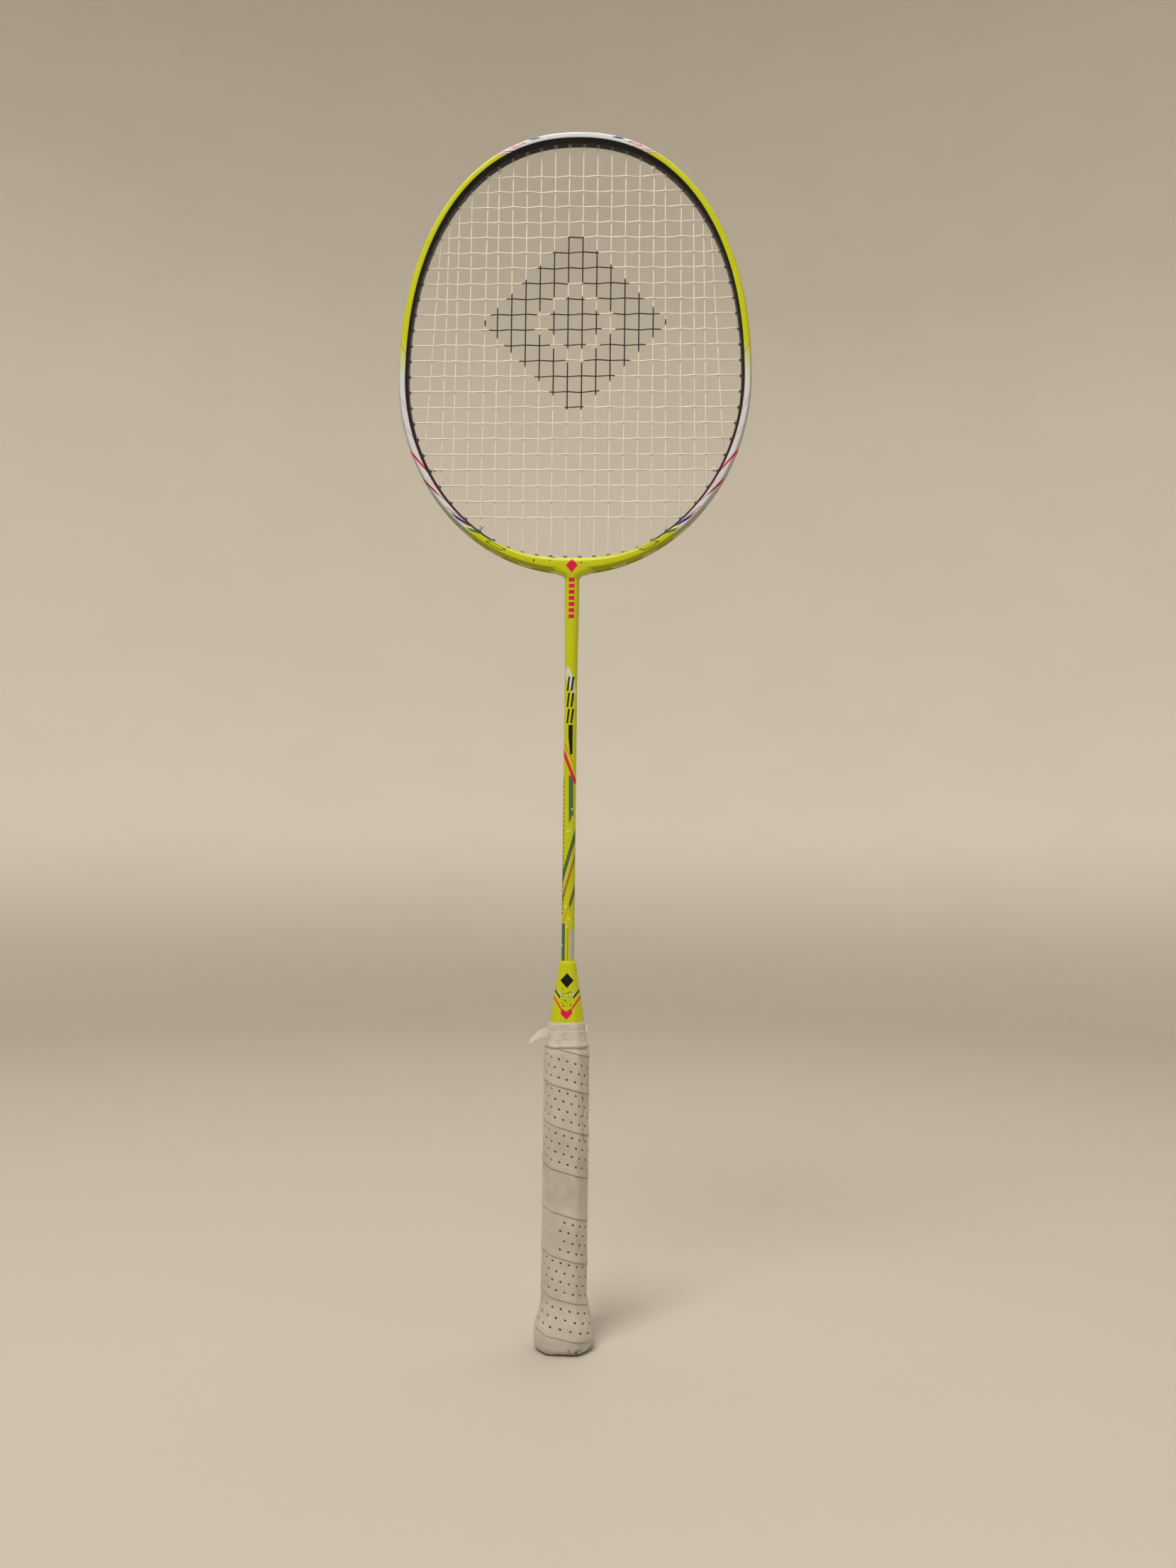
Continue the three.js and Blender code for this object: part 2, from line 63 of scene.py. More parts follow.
HEAD_HALF = FRAME_HIGH[0]
HEAD_TOP = FRAME_HIGH[2]
HEAD_MIDDLE, HEAD_BOTTOM = 530.0, 417.6
SQUARE_TOP, SQUARE_BOTTOM = 2.2, 1.98
RIM_WIDTH, RIM_HALF = 5.9, FRAME_HIGH[1]
THROAT_THICKEN, THROAT_REACH = 0.5, 0.42

# Corners of half the hoop's section, [inset, height], from the groove outwards and round to the inside.
HALF_SECTION = [[2.0, 1.3], [0.0, 2.1], [1.4, RIM_HALF], [4.5, RIM_HALF], [RIM_WIDTH, 2.4]]

STRING_RADIUS, STRING_APART, STRING_INSET = 0.38, 0.45, 0.75
CROSS_WAVE, MAIN_WAVE = 0.5, 0.24
GROMMET_END = RIM_WIDTH + 0.9
STRING_END = GROMMET_END + 0.3
MAINS_PER_SIDE, TOP_PITCH, BOTTOM_PITCH = 11, 8.1, 8.0
OWN_TOP, OWN_BOTTOM = 6, 7
CROSS_COUNT, CROSS_TOP, CROSS_PITCH = 23, 650.0, 9.09
SHARED_BELOW = {8: 23, 9: 22, 10: 21, 11: 19}
MAIN_TIE, SPARE_HOLE = 20, 2.5

GRIP_HALF = 12.5
DEPTH_RATIO, FRONT_FACET, SIDE_FACET = 0.923, 0.558, 0.415
FLARE_HEIGHTS = [0.0, 3.0, 8.5, 14.0, 20.0, 26.0]
FLARE_SCALES = [1.15, 1.26, 1.29, 1.22, 1.09, 1.0]


# ---- Meshes -----------------------------------------------------------------------------------------
class Form:
    """Vertices in millimetres, faces and per-vertex layers that together make one piece."""

    def __init__(self):
        self.vertices, self.faces, self.layers, self.count = [], [], {}, 0

    def add(self, vertices, faces, **layers):
        vertices = np.asarray(vertices, dtype=float).reshape(-1, 3)
        self.faces += [[corner + self.count for corner in face] for face in faces]
        self.vertices.append(vertices)
        self.count += len(vertices)
        for name, values in layers.items():
            values = np.broadcast_to(np.asarray(values, dtype=float).ravel(), len(vertices))
            self.layers.setdefault(name, []).append(values)

    def loft(self, rings, loop=False, **layers):
        """Quads between rings of points. A loft that isn't a loop is capped at both ends."""
        rings = np.asarray(rings, dtype=float)
        rows, sides = rings.shape[:2]
        i, j = np.meshgrid(np.arange(rows if loop else rows - 1), np.arange(sides), indexing="ij")
        below, right = (i + 1) % rows, (j + 1) % sides
        corners = [i * sides + j, i * sides + right, below * sides + right, below * sides + j]
        faces = np.stack(corners, axis=-1).reshape(-1, 4).tolist()
        if not loop:
            faces.append(list(range(sides))[::-1])
            faces.append([(rows - 1) * sides + side for side in range(sides)])
        self.add(rings, faces, **layers)

    def piece(self, name, finish, replaces=(), sharp=35.0):
        """Turns the form into an object that rides on the racket."""
        mesh = bpy.data.meshes.new(name)
        mesh.from_pydata((np.concatenate(self.vertices) * MM).tolist(), [], self.faces)
        for layer, values in self.layers.items():
            attribute = mesh.attributes.new(layer, "FLOAT", "POINT")
            attribute.data.foreach_set("value", np.concatenate(values).astype(np.float32))
        work = bmesh.new()
        work.from_mesh(mesh)
        bmesh.ops.remove_doubles(work, verts=work.verts, dist=2e-6)
        bmesh.ops.dissolve_degenerate(work, edges=work.edges, dist=2e-6)
        bmesh.ops.recalc_face_normals(work, faces=work.faces)
        work.to_mesh(mesh)
        work.free()
        mesh.shade_smooth()
        mesh.set_sharp_from_angle(angle=math.radians(sharp))
        mesh.materials.append(finish)
        made = bpy.data.objects.new(name, mesh)
        bpy.context.scene.collection.objects.link(made)
        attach(made, "root")
        if replaces:
            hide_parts(*replaces)
        return made


def smooth(value, low, high):
    """0 below low, 1 above high, eased between them. Works either way round."""
    t = np.clip((np.asarray(value, dtype=float) - low) / (high - low), 0, 1)
    return t * t * (3 - 2 * t)


def softened(corners, reach, steps=3):
    """A closed outline with each corner eased over the given reach."""
    corners = np.asarray(corners, dtype=float)
    points = []
    for before, corner, after in zip(np.roll(corners, 1, axis=0), corners, np.roll(corners, -1, axis=0)):
        arriving, leaving = before - corner, after - corner
        start = corner + arriving * min(reach / np.linalg.norm(arriving), 0.45)
        end = corner + leaving * min(reach / np.linalg.norm(leaving), 0.45)
        for t in np.linspace(0, 1, steps + 1):
            points.append((1 - t) ** 2 * start + 2 * t * (1 - t) * corner + t * t * end)
    return np.array(points)


def full_turn(count):
    """Evenly spaced angles round the Z axis."""
    return np.linspace(0, 2 * math.pi, count, endpoint=False)


def ring(radius, angles, height):
    """Points round the Z axis at a radius and height, each one number or one per angle."""
    radius, height = np.broadcast_to(radius, angles.shape), np.broadcast_to(height, angles.shape)
    return np.stack([radius * np.cos(angles), radius * np.sin(angles), height], axis=-1)


def uneven(seed, x, y):
    """Smooth random values from -1 to 1 over two coordinates that wrap every 64 steps."""
    table = np.random.default_rng(seed).uniform(-1, 1, (64, 64))
    left, low = np.floor(x).astype(int), np.floor(y).astype(int)
    u, v = smooth(x - left, 0, 1), smooth(y - low, 0, 1)

    def at(i, j):
        return table[(left + i) % 64, (low + j) % 64]

    return (at(0, 0) * (1 - u) + at(1, 0) * u) * (1 - v) + (at(0, 1) * (1 - u) + at(1, 1) * u) * v


# ---- Node materials ---------------------------------------------------------------------------------
def srgb(red, green, blue):
    """A colour from its 0 to 255 display values."""
    def linear(value):
        value /= 255
        return value / 12.92 if value <= 0.04045 else ((value + 0.055) / 1.055) ** 2.4
    return (linear(red), linear(green), linear(blue), 1.0)


LIME, LIME_DARK, LIME_PALE = srgb(192, 198, 8), srgb(142, 144, 0), srgb(212, 218, 100)
WHITE, WHITE_PAINTED_SHADE = srgb(202, 209, 216), srgb(150, 154, 156)
BLACK, NAVY_BLACK = srgb(6, 6, 7), srgb(9, 10, 12)
MAGENTA, DARK_RED, PINK, ORANGE = srgb(206, 20, 66), srgb(136, 14, 38), srgb(226, 120, 146), srgb(206, 92, 14)
BLUE, GREY_GREEN, SILVER = srgb(28, 34, 130), srgb(74, 104, 62), srgb(176, 178, 172)


class Finish:
    """A principled material whose colour is built up in layers, each with a mask."""

    def __init__(self, name, colour, roughness, **shader_values):
        self.material = bpy.data.materials.new(name)
        self.material.use_nodes = True
        self.tree = self.material.node_tree
        self.shader = self.tree.nodes["Principled BSDF"]
        self.shader.inputs["Roughness"].default_value = roughness
        for socket, value in shader_values.items():
            self.shader.inputs[socket.replace("_", " ")].default_value = value
        place = self.tree.nodes.new("ShaderNodeTexCoord").outputs["Object"]
        self.place = self.scaled(place, 1 / MM)
        split = self.tree.nodes.new("ShaderNodeSeparateXYZ")
        self.tree.links.new(self.place, split.inputs[0])
        self.x, self.y, self.z = split.outputs
        self.colour = colour

    def scaled(self, vector, factors):
        node = self.tree.nodes.new("ShaderNodeVectorMath")
        node.operation = "MULTIPLY"
        self.tree.links.new(vector, node.inputs[0])
        node.inputs[1].default_value = (factors,) * 3 if isinstance(factors, float) else factors
        return node.outputs[0]

    def put(self, value, socket):
        if isinstance(value, bpy.types.NodeSocket):
            self.tree.links.new(value, socket)
        else:
            socket.default_value = value

    def calc(self, operation, *values):
        node = self.tree.nodes.new("ShaderNodeMath")
        node.operation = operation
        for value, socket in zip(values, node.inputs):
            self.put(value, socket)
        return node.outputs[0]

    def absolute(self, value):
        return self.calc("ABSOLUTE", value)

    def layer_value(self, name):
        node = self.tree.nodes.new("ShaderNodeAttribute")
        node.attribute_name = name
        return node.outputs["Fac"]

    def ramp(self, value, low, high, from_value=0.0, to_value=1.0):
        """Eased from from_value at low to to_value at high."""
        node = self.tree.nodes.new("ShaderNodeMapRange")
        node.interpolation_type = "SMOOTHSTEP"
        for socket, number in zip(list(node.inputs)[1:5], (low, high, from_value, to_value)):
            socket.default_value = number
        self.put(value, node.inputs[0])
        return node.outputs[0]

    def both(self, *masks):
        result = masks[0]
        for mask in masks[1:]:
            result = self.calc("MULTIPLY", result, mask)
        return result

    def either(self, *masks):
        result = masks[0]
        for mask in masks[1:]:
            result = self.calc("MAXIMUM", result, mask)
        return result

    def without(self, mask, hidden):
        return self.both(mask, self.calc("SUBTRACT", 1.0, hidden))

    def above(self, value, edge, soft=0.12):
        return self.ramp(value, edge - soft, edge + soft)

    def within(self, value, low, high, soft=0.12):
        over_low = self.ramp(value, low - soft, low + soft)
        return self.both(over_low, self.ramp(value, high - soft, high + soft, 1.0, 0.0))

    def weigh(self, *terms):
        """A weighted sum: pairs of value and factor, or plain numbers."""
        total = 0.0
        for term in terms:
            value = self.calc("MULTIPLY", *term) if isinstance(term, tuple) else term
            total = self.calc("ADD", total, value)
        return total

    def noise(self, scale, detail=3.0, stretch=(1.0, 1.0, 1.0)):
        """Noise with the given number of features per millimetre, stretched along the axes."""
        node = self.tree.nodes.new("ShaderNodeTexNoise")
        self.tree.links.new(self.scaled(self.place, stretch), node.inputs["Vector"])
        node.inputs["Scale"].default_value = scale
        node.inputs["Detail"].default_value = detail
        return node.outputs[0]

    def paint(self, colour, *masks):
        """Lays a colour over what is there, as far as all the masks say."""
        node = self.tree.nodes.new("ShaderNodeMix")
        node.data_type = "RGBA"
        self.put(self.both(*masks), node.inputs[0])
        self.put(self.colour, node.inputs[6])
        self.put(colour, node.inputs[7])
        self.colour = node.outputs[2]

    def mottle(self, colour, noise, low, high, most):
        """Paints a colour where noise is high: none below low, rising to the most of it at high."""
        self.paint(colour, self.ramp(noise, low, high, 0.0, most))

    def vary_roughness(self, value, low, high):
        self.put(self.ramp(value, 0.3, 0.7, low, high), self.shader.inputs["Roughness"])

    def bump(self, height, distance, strength=1.0):
        """Bump with its height scaled in millimetres."""
        node = self.tree.nodes.new("ShaderNodeBump")
        node.inputs["Strength"].default_value = strength
        node.inputs["Distance"].default_value = distance * MM
        self.put(height, node.inputs["Height"])
        if self.shader.inputs["Normal"].is_linked:
            self.put(self.shader.inputs["Normal"].links[0].from_socket, node.inputs["Normal"])
        self.tree.links.new(node.outputs[0], self.shader.inputs["Normal"])

    def done(self):
        self.put(self.colour, self.shader.inputs["Base Color"])
        return self.material


def rhombus_reach(finish, centre, half_wide, half_high):
    """0 on the racket's axis at a height, rising to 1 on the edge of a rhombus centred there."""
    across = finish.calc("DIVIDE", finish.absolute(finish.x), half_wide)
    along = finish.calc("DIVIDE", finish.absolute(finish.weigh(finish.z, -centre)), half_high)
    return finish.calc("ADD", across, along)


def rhombus(finish, centre, half_wide, half_high):
    """Mask of a plain rhombus on the front and back."""
    return finish.ramp(rhombus_reach(finish, centre, half_wide, half_high), 0.97, 1.03, 1.0, 0.0)


def clear_coated(name):
    """Lime paint, gently mottled, to lay the other colours on."""
    finish = Finish(name, LIME, 0.34, Coat_Weight=0.1, Coat_Roughness=0.1, Specular_IOR_Level=0.22)
    finish.paint(LIME_DARK, finish.noise(0.05), 0.2)
    return finish


def worn(finish, chip_colour, amount, chip_size=0.55):
    """Small chips, more of them where amount is near 1, and an uneven gloss."""
    flecks = finish.ramp(finish.noise(chip_size, 4.0), 0.66, 0.69)
    patches = finish.ramp(finish.noise(0.035, 2.0), 0.47, 0.55)
    finish.paint(chip_colour, flecks, patches, amount)
    finish.vary_roughness(finish.noise(0.15), 0.26, 0.42)
    finish.bump(finish.noise(0.5, 2.0), 0.03, 0.25)


def frame_paint():
    """Lime hoop with white fades, a near-black inside, and thin diagonal lines on both faces."""
    finish = clear_coated("frame_paint")
    inset, z = finish.layer_value("inset"), finish.z
    across = finish.absolute(finish.x)
    is_crown = finish.above(z, 600.0)
    lean = finish.weigh(across, (inset, 2.5))

    fade = finish.both(finish.ramp(z, 553.0, 522.0), finish.above(finish.weigh(z, (inset, -1.0)), 439.5, 3.0))
    crown = finish.both(is_crown, finish.ramp(lean, 51.2, 50.2))
    white = finish.either(fade, crown)
    finish.paint(WHITE, white)
    # Painted shade: the white darkens towards the outer edge, where the chamfer turns away from the light.
    finish.paint(WHITE_PAINTED_SHADE, white, finish.ramp(inset, 1.9, 0.5, 0.0, 0.75))

    def slanted(outer, inner, width, nearest=0.0, furthest=RIM_WIDTH):
        """A line from a height on the outer edge to one on the inner edge, kept between two insets."""
        drop = (inner - outer) / RIM_WIDTH
        middle = finish.weigh(z, (inset, -drop), -outer)
        line = finish.both(finish.within(middle, -width / 2, width / 2), finish.ramp(z, 600.0, 590.0))
        return finish.both(line, finish.within(inset, nearest, furthest))

    lower = [
        (520.4, 507.0, 0.9, PINK, -1), (504.2, 490.5, 0.8, PINK, -1), (487.8, 471.8, 3.4, MAGENTA, -1),
        (476.5, 463.5, 0.6, PINK, 2.4), (474.6, 461.0, 0.6, PINK, 2.4), (471.9, 453.0, 1.3, MAGENTA, -1),
        (460.0, 444.4, 1.3, MAGENTA, 2.0), (455.5, 439.8, 4.4, BLUE, 2.1),
        (446.6, 441.2, 1.4, LIME_PALE, 2.4), (443.8, 438.8, 2.2, GREY_GREEN, 2.3),
    ]
    for outer, inner, width, colour, nearest in lower:
        finish.paint(colour, slanted(outer, inner, width, nearest))
    finish.paint(DARK_RED, slanted(471.6, 452.7, 3.4, 0.6, 2.9))
    finish.paint(ORANGE, slanted(551.0, 539.5, 0.7, -1))

    # Crown: red lines at both ends of the white, thin loops and blue slivers.
    ends = [(50.2, 0.9, MAGENTA), (47.6, 0.9, DARK_RED), (45.2, 0.5, PINK), (43.0, 0.5, MAGENTA)]
    for place, width, colour in ends:
        line = finish.within(lean, place - width / 2, place + width / 2)
        finish.paint(colour, is_crown, line)
    sliver = finish.both(is_crown, finish.within(lean, 26.5, 31.5, 0.4), finish.within(inset, 1.2, 2.6))
    finish.paint(BLUE, sliver)
    loop = finish.both(is_crown, finish.within(lean, 36.0, 42.5, 0.3), finish.within(inset, 1.6, 3.0))
    hollow = finish.both(finish.within(lean, 36.9, 41.6, 0.3), finish.within(inset, 1.95, 2.65))
    finish.paint(MAGENTA, finish.without(loop, hollow))

    # Thin black rhomboid either side of the throat.
    skew = finish.weigh(across, (inset, 1.6))
    below = finish.ramp(z, 450.0, 445.0)
    outer_box = finish.both(finish.within(skew, 43.5, 52.5), finish.within(inset, 2.3, 4.4), below)
    inner_box = finish.both(finish.within(skew, 44.1, 51.9), finish.within(inset, 2.65, 4.05))
    finish.paint(BLACK, finish.without(outer_box, inner_box))

    shaded = finish.both(finish.ramp(inset, 1.9, 1.0), finish.ramp(z, 470.0, 440.0))
    finish.paint(LIME_DARK, shaded, 0.75)
    worn(finish, BLACK, finish.either(finish.ramp(inset, 2.6, 0.9), finish.ramp(z, 440.0, 432.0)), 0.45)
    # The inside of the hoop, down to the throat, and the line that borders it.
    above_throat = finish.above(finish.weigh(z, (inset, 0.5)), 438.0, 0.4)
    finish.paint(MAGENTA, finish.within(inset, 3.95, 4.4, 0.08), above_throat, fade, 0.4)
    finish.paint(NAVY_BLACK, finish.above(inset, 4.35), above_throat)
    finish.paint(MAGENTA, rhombus(finish, 421.4, 3.3, 4.0))
    finish.paint(MAGENTA, neck_blocks(finish))
    return finish.done()


def neck_blocks(finish):
    """Mask of seven plain blocks down the front and back of the neck."""
    high = finish.calc("FRACT", finish.weigh((finish.z, 1 / 3.43), -391.6 / 3.43))
    in_block = finish.both(finish.within(high, 0.04, 0.72, 0.03), finish.within(finish.z, 391.5, 415.6))
    front = finish.ramp(finish.absolute(finish.y), 1.0, 1.6)
    return finish.both(in_block, finish.within(finish.x, -1.6, 1.6), front)


def shaft_paint():
    """Lime shaft with plain bars, bands and slanting lines in place of any lettering."""
    finish = clear_coated("shaft_paint")
    x, z = finish.x, finish.z
    visible = finish.above(finish.absolute(finish.y), 0.6, 0.3)

    def bar(low, high, left, right, soft=0.12):
        return finish.both(finish.within(z, low, high, soft), finish.within(x, left, right), visible)

    def slanted(centre, slope, width, low, high):
        offset = finish.weigh(z, (x, -slope), -centre)
        return finish.both(finish.within(offset, -width / 2, width / 2), finish.within(z, low, high))

    finish.paint(MAGENTA, neck_blocks(finish))

    # A streaky white brush mark, three pairs of slanted black bars and a black wedge.
    streaks = finish.ramp(finish.noise(0.6, 3.0, (3.0, 3.0, 0.35)), 0.36, 0.5)
    brushed = finish.both(slanted(357.0, -2.5, 10.0, 349.5, 364.5), finish.within(x, -2.8, 2.9))
    finish.paint(WHITE, streaks, brushed)
    for low, high in [(351.3, 359.2), (342.3, 350.2), (333.3, 341.2)]:
        slant = finish.weigh(x, (z, -0.12), 0.12 * (low + high) / 2)
        pair = finish.either(finish.within(slant, -1.7, -0.7), finish.within(slant, 0.5, 1.6))
        finish.paint(BLACK, finish.within(z, low, high), pair, visible)
    wedge = finish.above(finish.weigh(x, (z, 0.11)), 34.9, 0.1)
    finish.paint(BLACK, bar(316.0, 332.4, -0.9, 1.5), wedge)

    # Slanting lines, a tapering grey-green band, and bands that wind down to the left.
    upright = bar(323.0, 337.0, -3.7, -3.3)
    finish.paint(ORANGE, finish.either(slanted(315.7, -2.1, 1.0, 311.0, 324.0), upright))
    taper = finish.weigh(x, (finish.weigh(304.0, (z, -1.0)), -0.012))
    band = finish.both(finish.within(taper, -0.4, 2.0), finish.within(z, 276.0, 304.5, 0.4), visible)
    past_tip = finish.above(finish.weigh((z, -1.0), (x, 2.2)), -278.0, 0.3)
    finish.paint(GREY_GREEN, finish.without(band, past_tip))
    finish.paint(MAGENTA, slanted(308.7, -2.57, 4.5, 300.0, 322.0))
    winding = [
        (260.0, 7.0, GREY_GREEN), (253.4, 2.2, ORANGE), (253.8, 1.1, LIME_PALE), (248.3, 2.5, GREY_GREEN),
        (245.8, 1.3, ORANGE), (232.8, 1.4, ORANGE),
    ]
    for centre, width, colour in winding:
        finish.paint(colour, slanted(centre, 3.5, width, 222.0, 275.0), visible)
    last_band = slanted(230.3, 3.5, 5.0, 224.0, 245.0)
    finish.paint(GREY_GREEN, last_band, finish.above(x, 0.7), visible)
    finish.paint(GREY_GREEN, bar(203.5, 223.5, -3.4, -1.5))
    finish.paint(ORANGE, bar(203.0, 222.0, -0.2, 0.25))
    finish.paint(SILVER, bar(205.0, 220.5, 0.8, 3.0))

    ticks = finish.ramp(finish.calc("FRACT", finish.weigh((z, 0.42))), 0.62, 0.58)
    finish.paint(BLACK, ticks, finish.within(z, 228.0, 303.0), finish.within(x, -3.4, -2.8), 0.8)

    chips = [(1.6, 286.0), (-0.8, 274.0), (-1.1, 232.6), (0.5, 226.3), (-0.6, 222.0), (-3.2, 211.8)]
    for chip_x, chip_z in chips:
        away = finish.weigh((finish.absolute(finish.weigh(x, -chip_x)), 1.0),
                            (finish.absolute(finish.weigh(z, -chip_z)), 0.7))
        finish.paint(WHITE, finish.ramp(away, 0.62, 0.45), finish.ramp(finish.y, 0.0, -0.5))
    worn(finish, WHITE, 0.35)
    return finish.done()


def cone_plastic():
    """Lime plastic with a plain rhombus, short bars and a thin V."""
    finish = Finish("cone_plastic", LIME, 0.42, Coat_Weight=0.05, Coat_Roughness=0.2, Specular_IOR_Level=0.22)
    across, z = finish.absolute(finish.x), finish.z
    finish.paint(LIME_DARK, finish.noise(0.12), 0.25)
    finish.paint(BLACK, rhombus(finish, 193.2, 3.6, 4.0))
    fall = finish.weigh(z, (across, -1.2))
    for centre, low, high, colour in [(179.9, 3.5, 6.7, BLACK), (182.1, 1.9, 4.8, SILVER)]:
        bar = finish.both(finish.within(fall, centre - 0.7, centre + 0.7), finish.within(across, low, high))
        finish.paint(colour, bar)
    vee = finish.weigh(z, (across, -1.42), -174.2)
    finish.paint(MAGENTA, finish.within(vee, -0.75, 0.75), finish.within(across, 2.9, 7.6))
    top_edge, low_edge = finish.weigh(z, (across, -0.6)), finish.weigh(z, (across, -1.03))
    arrow = finish.both(finish.ramp(top_edge, 177.0, 176.8), finish.above(low_edge, 172.5))
    finish.paint(MAGENTA, arrow, finish.ramp(across, 3.1, 2.9))
    marks = finish.ramp(finish.noise(0.9, 4.0, (0.7, 1.0, 1.5)), 0.57, 0.61)
    near_middle = finish.both(finish.within(z, 178.0, 189.0, 1.0), finish.ramp(across, 3.2, 2.6))
    finish.paint(BLACK, marks, near_middle, 0.85)
    finish.paint(BLACK, finish.ramp(finish.noise(0.8, 4.0), 0.71, 0.74), 0.7)
    finish.vary_roughness(finish.noise(0.3), 0.34, 0.52)
    finish.bump(finish.noise(1.2, 3.0), 0.03, 0.4)
    return finish.done()


def wrap_foam():
    """Pale polyurethane: holes painted near-black for the shade inside them, with pale rims, painted shadow
    along the seams where the turns overlap, and dirt near the butt.
    """
    gloss = {"Coat_Weight": 0.15, "Coat_Roughness": 0.25, "Specular_IOR_Level": 0.35}
    finish = Finish("wrap_foam", srgb(190, 185, 175), 0.5, **gloss)
    finish.mottle(srgb(168, 161, 146), finish.noise(0.06, 4.0), 0.42, 0.7, 0.5)
    finish.mottle(srgb(206, 202, 194), finish.noise(0.12, 2.0, (1.0, 1.0, 0.4)), 0.5, 0.75, 0.5)
    # Painted shadow along each seam, where one turn of the wrap laps over the next.
    finish.paint(srgb(120, 110, 92), finish.layer_value("seam"), 0.7)

    # The holes: rows a fixed way up each turn, every other row half a hole along.
    around, up = finish.layer_value("around"), finish.layer_value("up")
    row = finish.calc("ROUND", finish.weigh((up, 1 / ROW_PITCH), -FIRST_ROW / ROW_PITCH))
    shift = finish.calc("MULTIPLY", finish.calc("FLOORED_MODULO", row, 2.0), 0.5)
    column = finish.calc("FRACT", finish.weigh(around, shift, 0.5))
    sideways = finish.calc("MULTIPLY", finish.weigh(column, -0.5), HOLE_SPACING)
    upwards = finish.weigh(up, (row, -ROW_PITCH), -FIRST_ROW)
    away = finish.calc("SQRT", finish.weigh((finish.calc("MULTIPLY", sideways, sideways), 1.0),
                                            (finish.calc("MULTIPLY", upwards, upwards), 1.0)))
    present = finish.above(finish.layer_value("open"), 0.5, 0.05)
    finish.paint(srgb(200, 195, 184), present, finish.ramp(away, 1.0, 0.7), 0.6)
    # Painted shade: each hole is near-black for the shade down inside it.
    finish.paint(srgb(20, 15, 11), present, finish.ramp(away, 0.64, 0.52))

    # Fine cracks down one side, and dirt at the butt.
    wobble = finish.weigh(finish.x, (finish.noise(0.16, 3.0), 3.0), -11.0)
    crack = finish.both(finish.within(wobble, -0.14, 0.14, 0.1), finish.within(finish.z, 108.0, 137.0, 1.0))
    broken = finish.ramp(finish.noise(0.35, 2.0), 0.42, 0.5)
    finish.paint(srgb(84, 72, 56), crack, broken, finish.ramp(finish.y, 0.0, -2.0))
    spot = finish.both(finish.within(finish.x, 3.5, 9.5, 1.5), finish.within(finish.z, 0.2, 3.8, 0.8))
    finish.paint(srgb(62, 47, 30), spot, finish.ramp(finish.noise(0.6, 4.0), 0.4, 0.56), 0.95)
    finish.paint(srgb(96, 82, 62), finish.ramp(finish.z, 2.0, 0.6, 0.0, 0.7))
    finish.vary_roughness(finish.noise(0.2), 0.42, 0.6)
    finish.bump(finish.noise(2.2, 3.0), 0.04, 0.4)
    finish.bump(finish.noise(0.35, 2.0), 0.12, 0.35)
    return finish.done()


def tape_vinyl():
    finish = Finish("tape_vinyl", srgb(198, 194, 185), 0.42, Coat_Weight=0.15, Coat_Roughness=0.2)
    finish.mottle(srgb(158, 152, 138), finish.noise(0.25, 4.0, (1.0, 1.0, 2.5)), 0.45, 0.7, 0.5)
    finish.paint(srgb(112, 98, 74), finish.layer_value("edge"), 0.75)
    finish.vary_roughness(finish.noise(0.4), 0.34, 0.52)
    finish.bump(finish.noise(0.9, 3.0, (1.0, 1.0, 3.0)), 0.08, 0.6)
    return finish.done()


def film_clear():
    """Thin clear film: mostly see-through, with haze where it is creased."""
    finish = Finish("film_clear", srgb(226, 222, 212), 0.12, Specular_IOR_Level=0.2)
    haze = finish.ramp(finish.noise(0.2, 3.0, (1.0, 1.0, 0.25)), 0.5, 0.72)
    finish.paint(srgb(238, 235, 226), haze)
    clear = finish.ramp(finish.layer_value("torn"), 0.4, 0.6, 0.035, 0.3)
    finish.put(finish.weigh(clear, (haze, 0.06)), finish.shader.inputs["Alpha"])
    finish.bump(finish.noise(0.22, 3.0, (1.0, 1.0, 0.3)), 0.25, 0.5)
    return finish.done()


def string_nylon():
    """Cream strings with a black ink rhombus, open round a small solid one, over the middle of the bed."""
    finish = Finish("string_nylon", srgb(226, 222, 210), 0.4, Coat_Weight=0.2, Coat_Roughness=0.2)
    finish.mottle(srgb(204, 198, 182), finish.noise(0.08, 3.0), 0.4, 0.75, 0.6)
    reach = rhombus_reach(finish, 563.0, 53.0, 55.0)
    ink = finish.either(finish.within(reach, 0.5, 1.0, 0.004), finish.ramp(reach, 0.36, 0.35))
    worn_ink = finish.ramp(finish.noise(0.9, 3.0), 0.22, 0.28)
    finish.paint(srgb(9, 7, 12), ink, worn_ink)
    finish.bump(finish.noise(3.0, 2.0), 0.02, 0.5)
    return finish.done()


def grommet_nylon():
    finish = Finish("grommet_nylon", srgb(104, 102, 94), 0.42, Coat_Weight=0.1)
    finish.mottle(srgb(62, 60, 54), finish.noise(0.3, 3.0), 0.4, 0.7, 0.7)
    finish.bump(finish.noise(1.5, 2.0), 0.03, 0.4)
    return finish.done()


def cap_plastic():
    finish = Finish("cap_plastic", srgb(40, 40, 40), 0.5)
    finish.mottle(srgb(70, 68, 62), finish.noise(0.3, 4.0), 0.45, 0.7, 0.6)
    finish.vary_roughness(finish.noise(0.5), 0.42, 0.65)
    finish.bump(finish.noise(2.0, 3.0), 0.05, 0.6)
    return finish.done()


def joint_metal():
    finish = Finish("joint_metal", srgb(168, 170, 172), 0.35, Metallic=1.0)
    finish.mottle(srgb(120, 122, 124), finish.noise(0.8, 3.0, (1.0, 1.0, 4.0)), 0.4, 0.7, 0.6)
    finish.bump(finish.noise(1.5, 2.0, (1.0, 1.0, 6.0)), 0.02, 0.5)
    return finish.done()


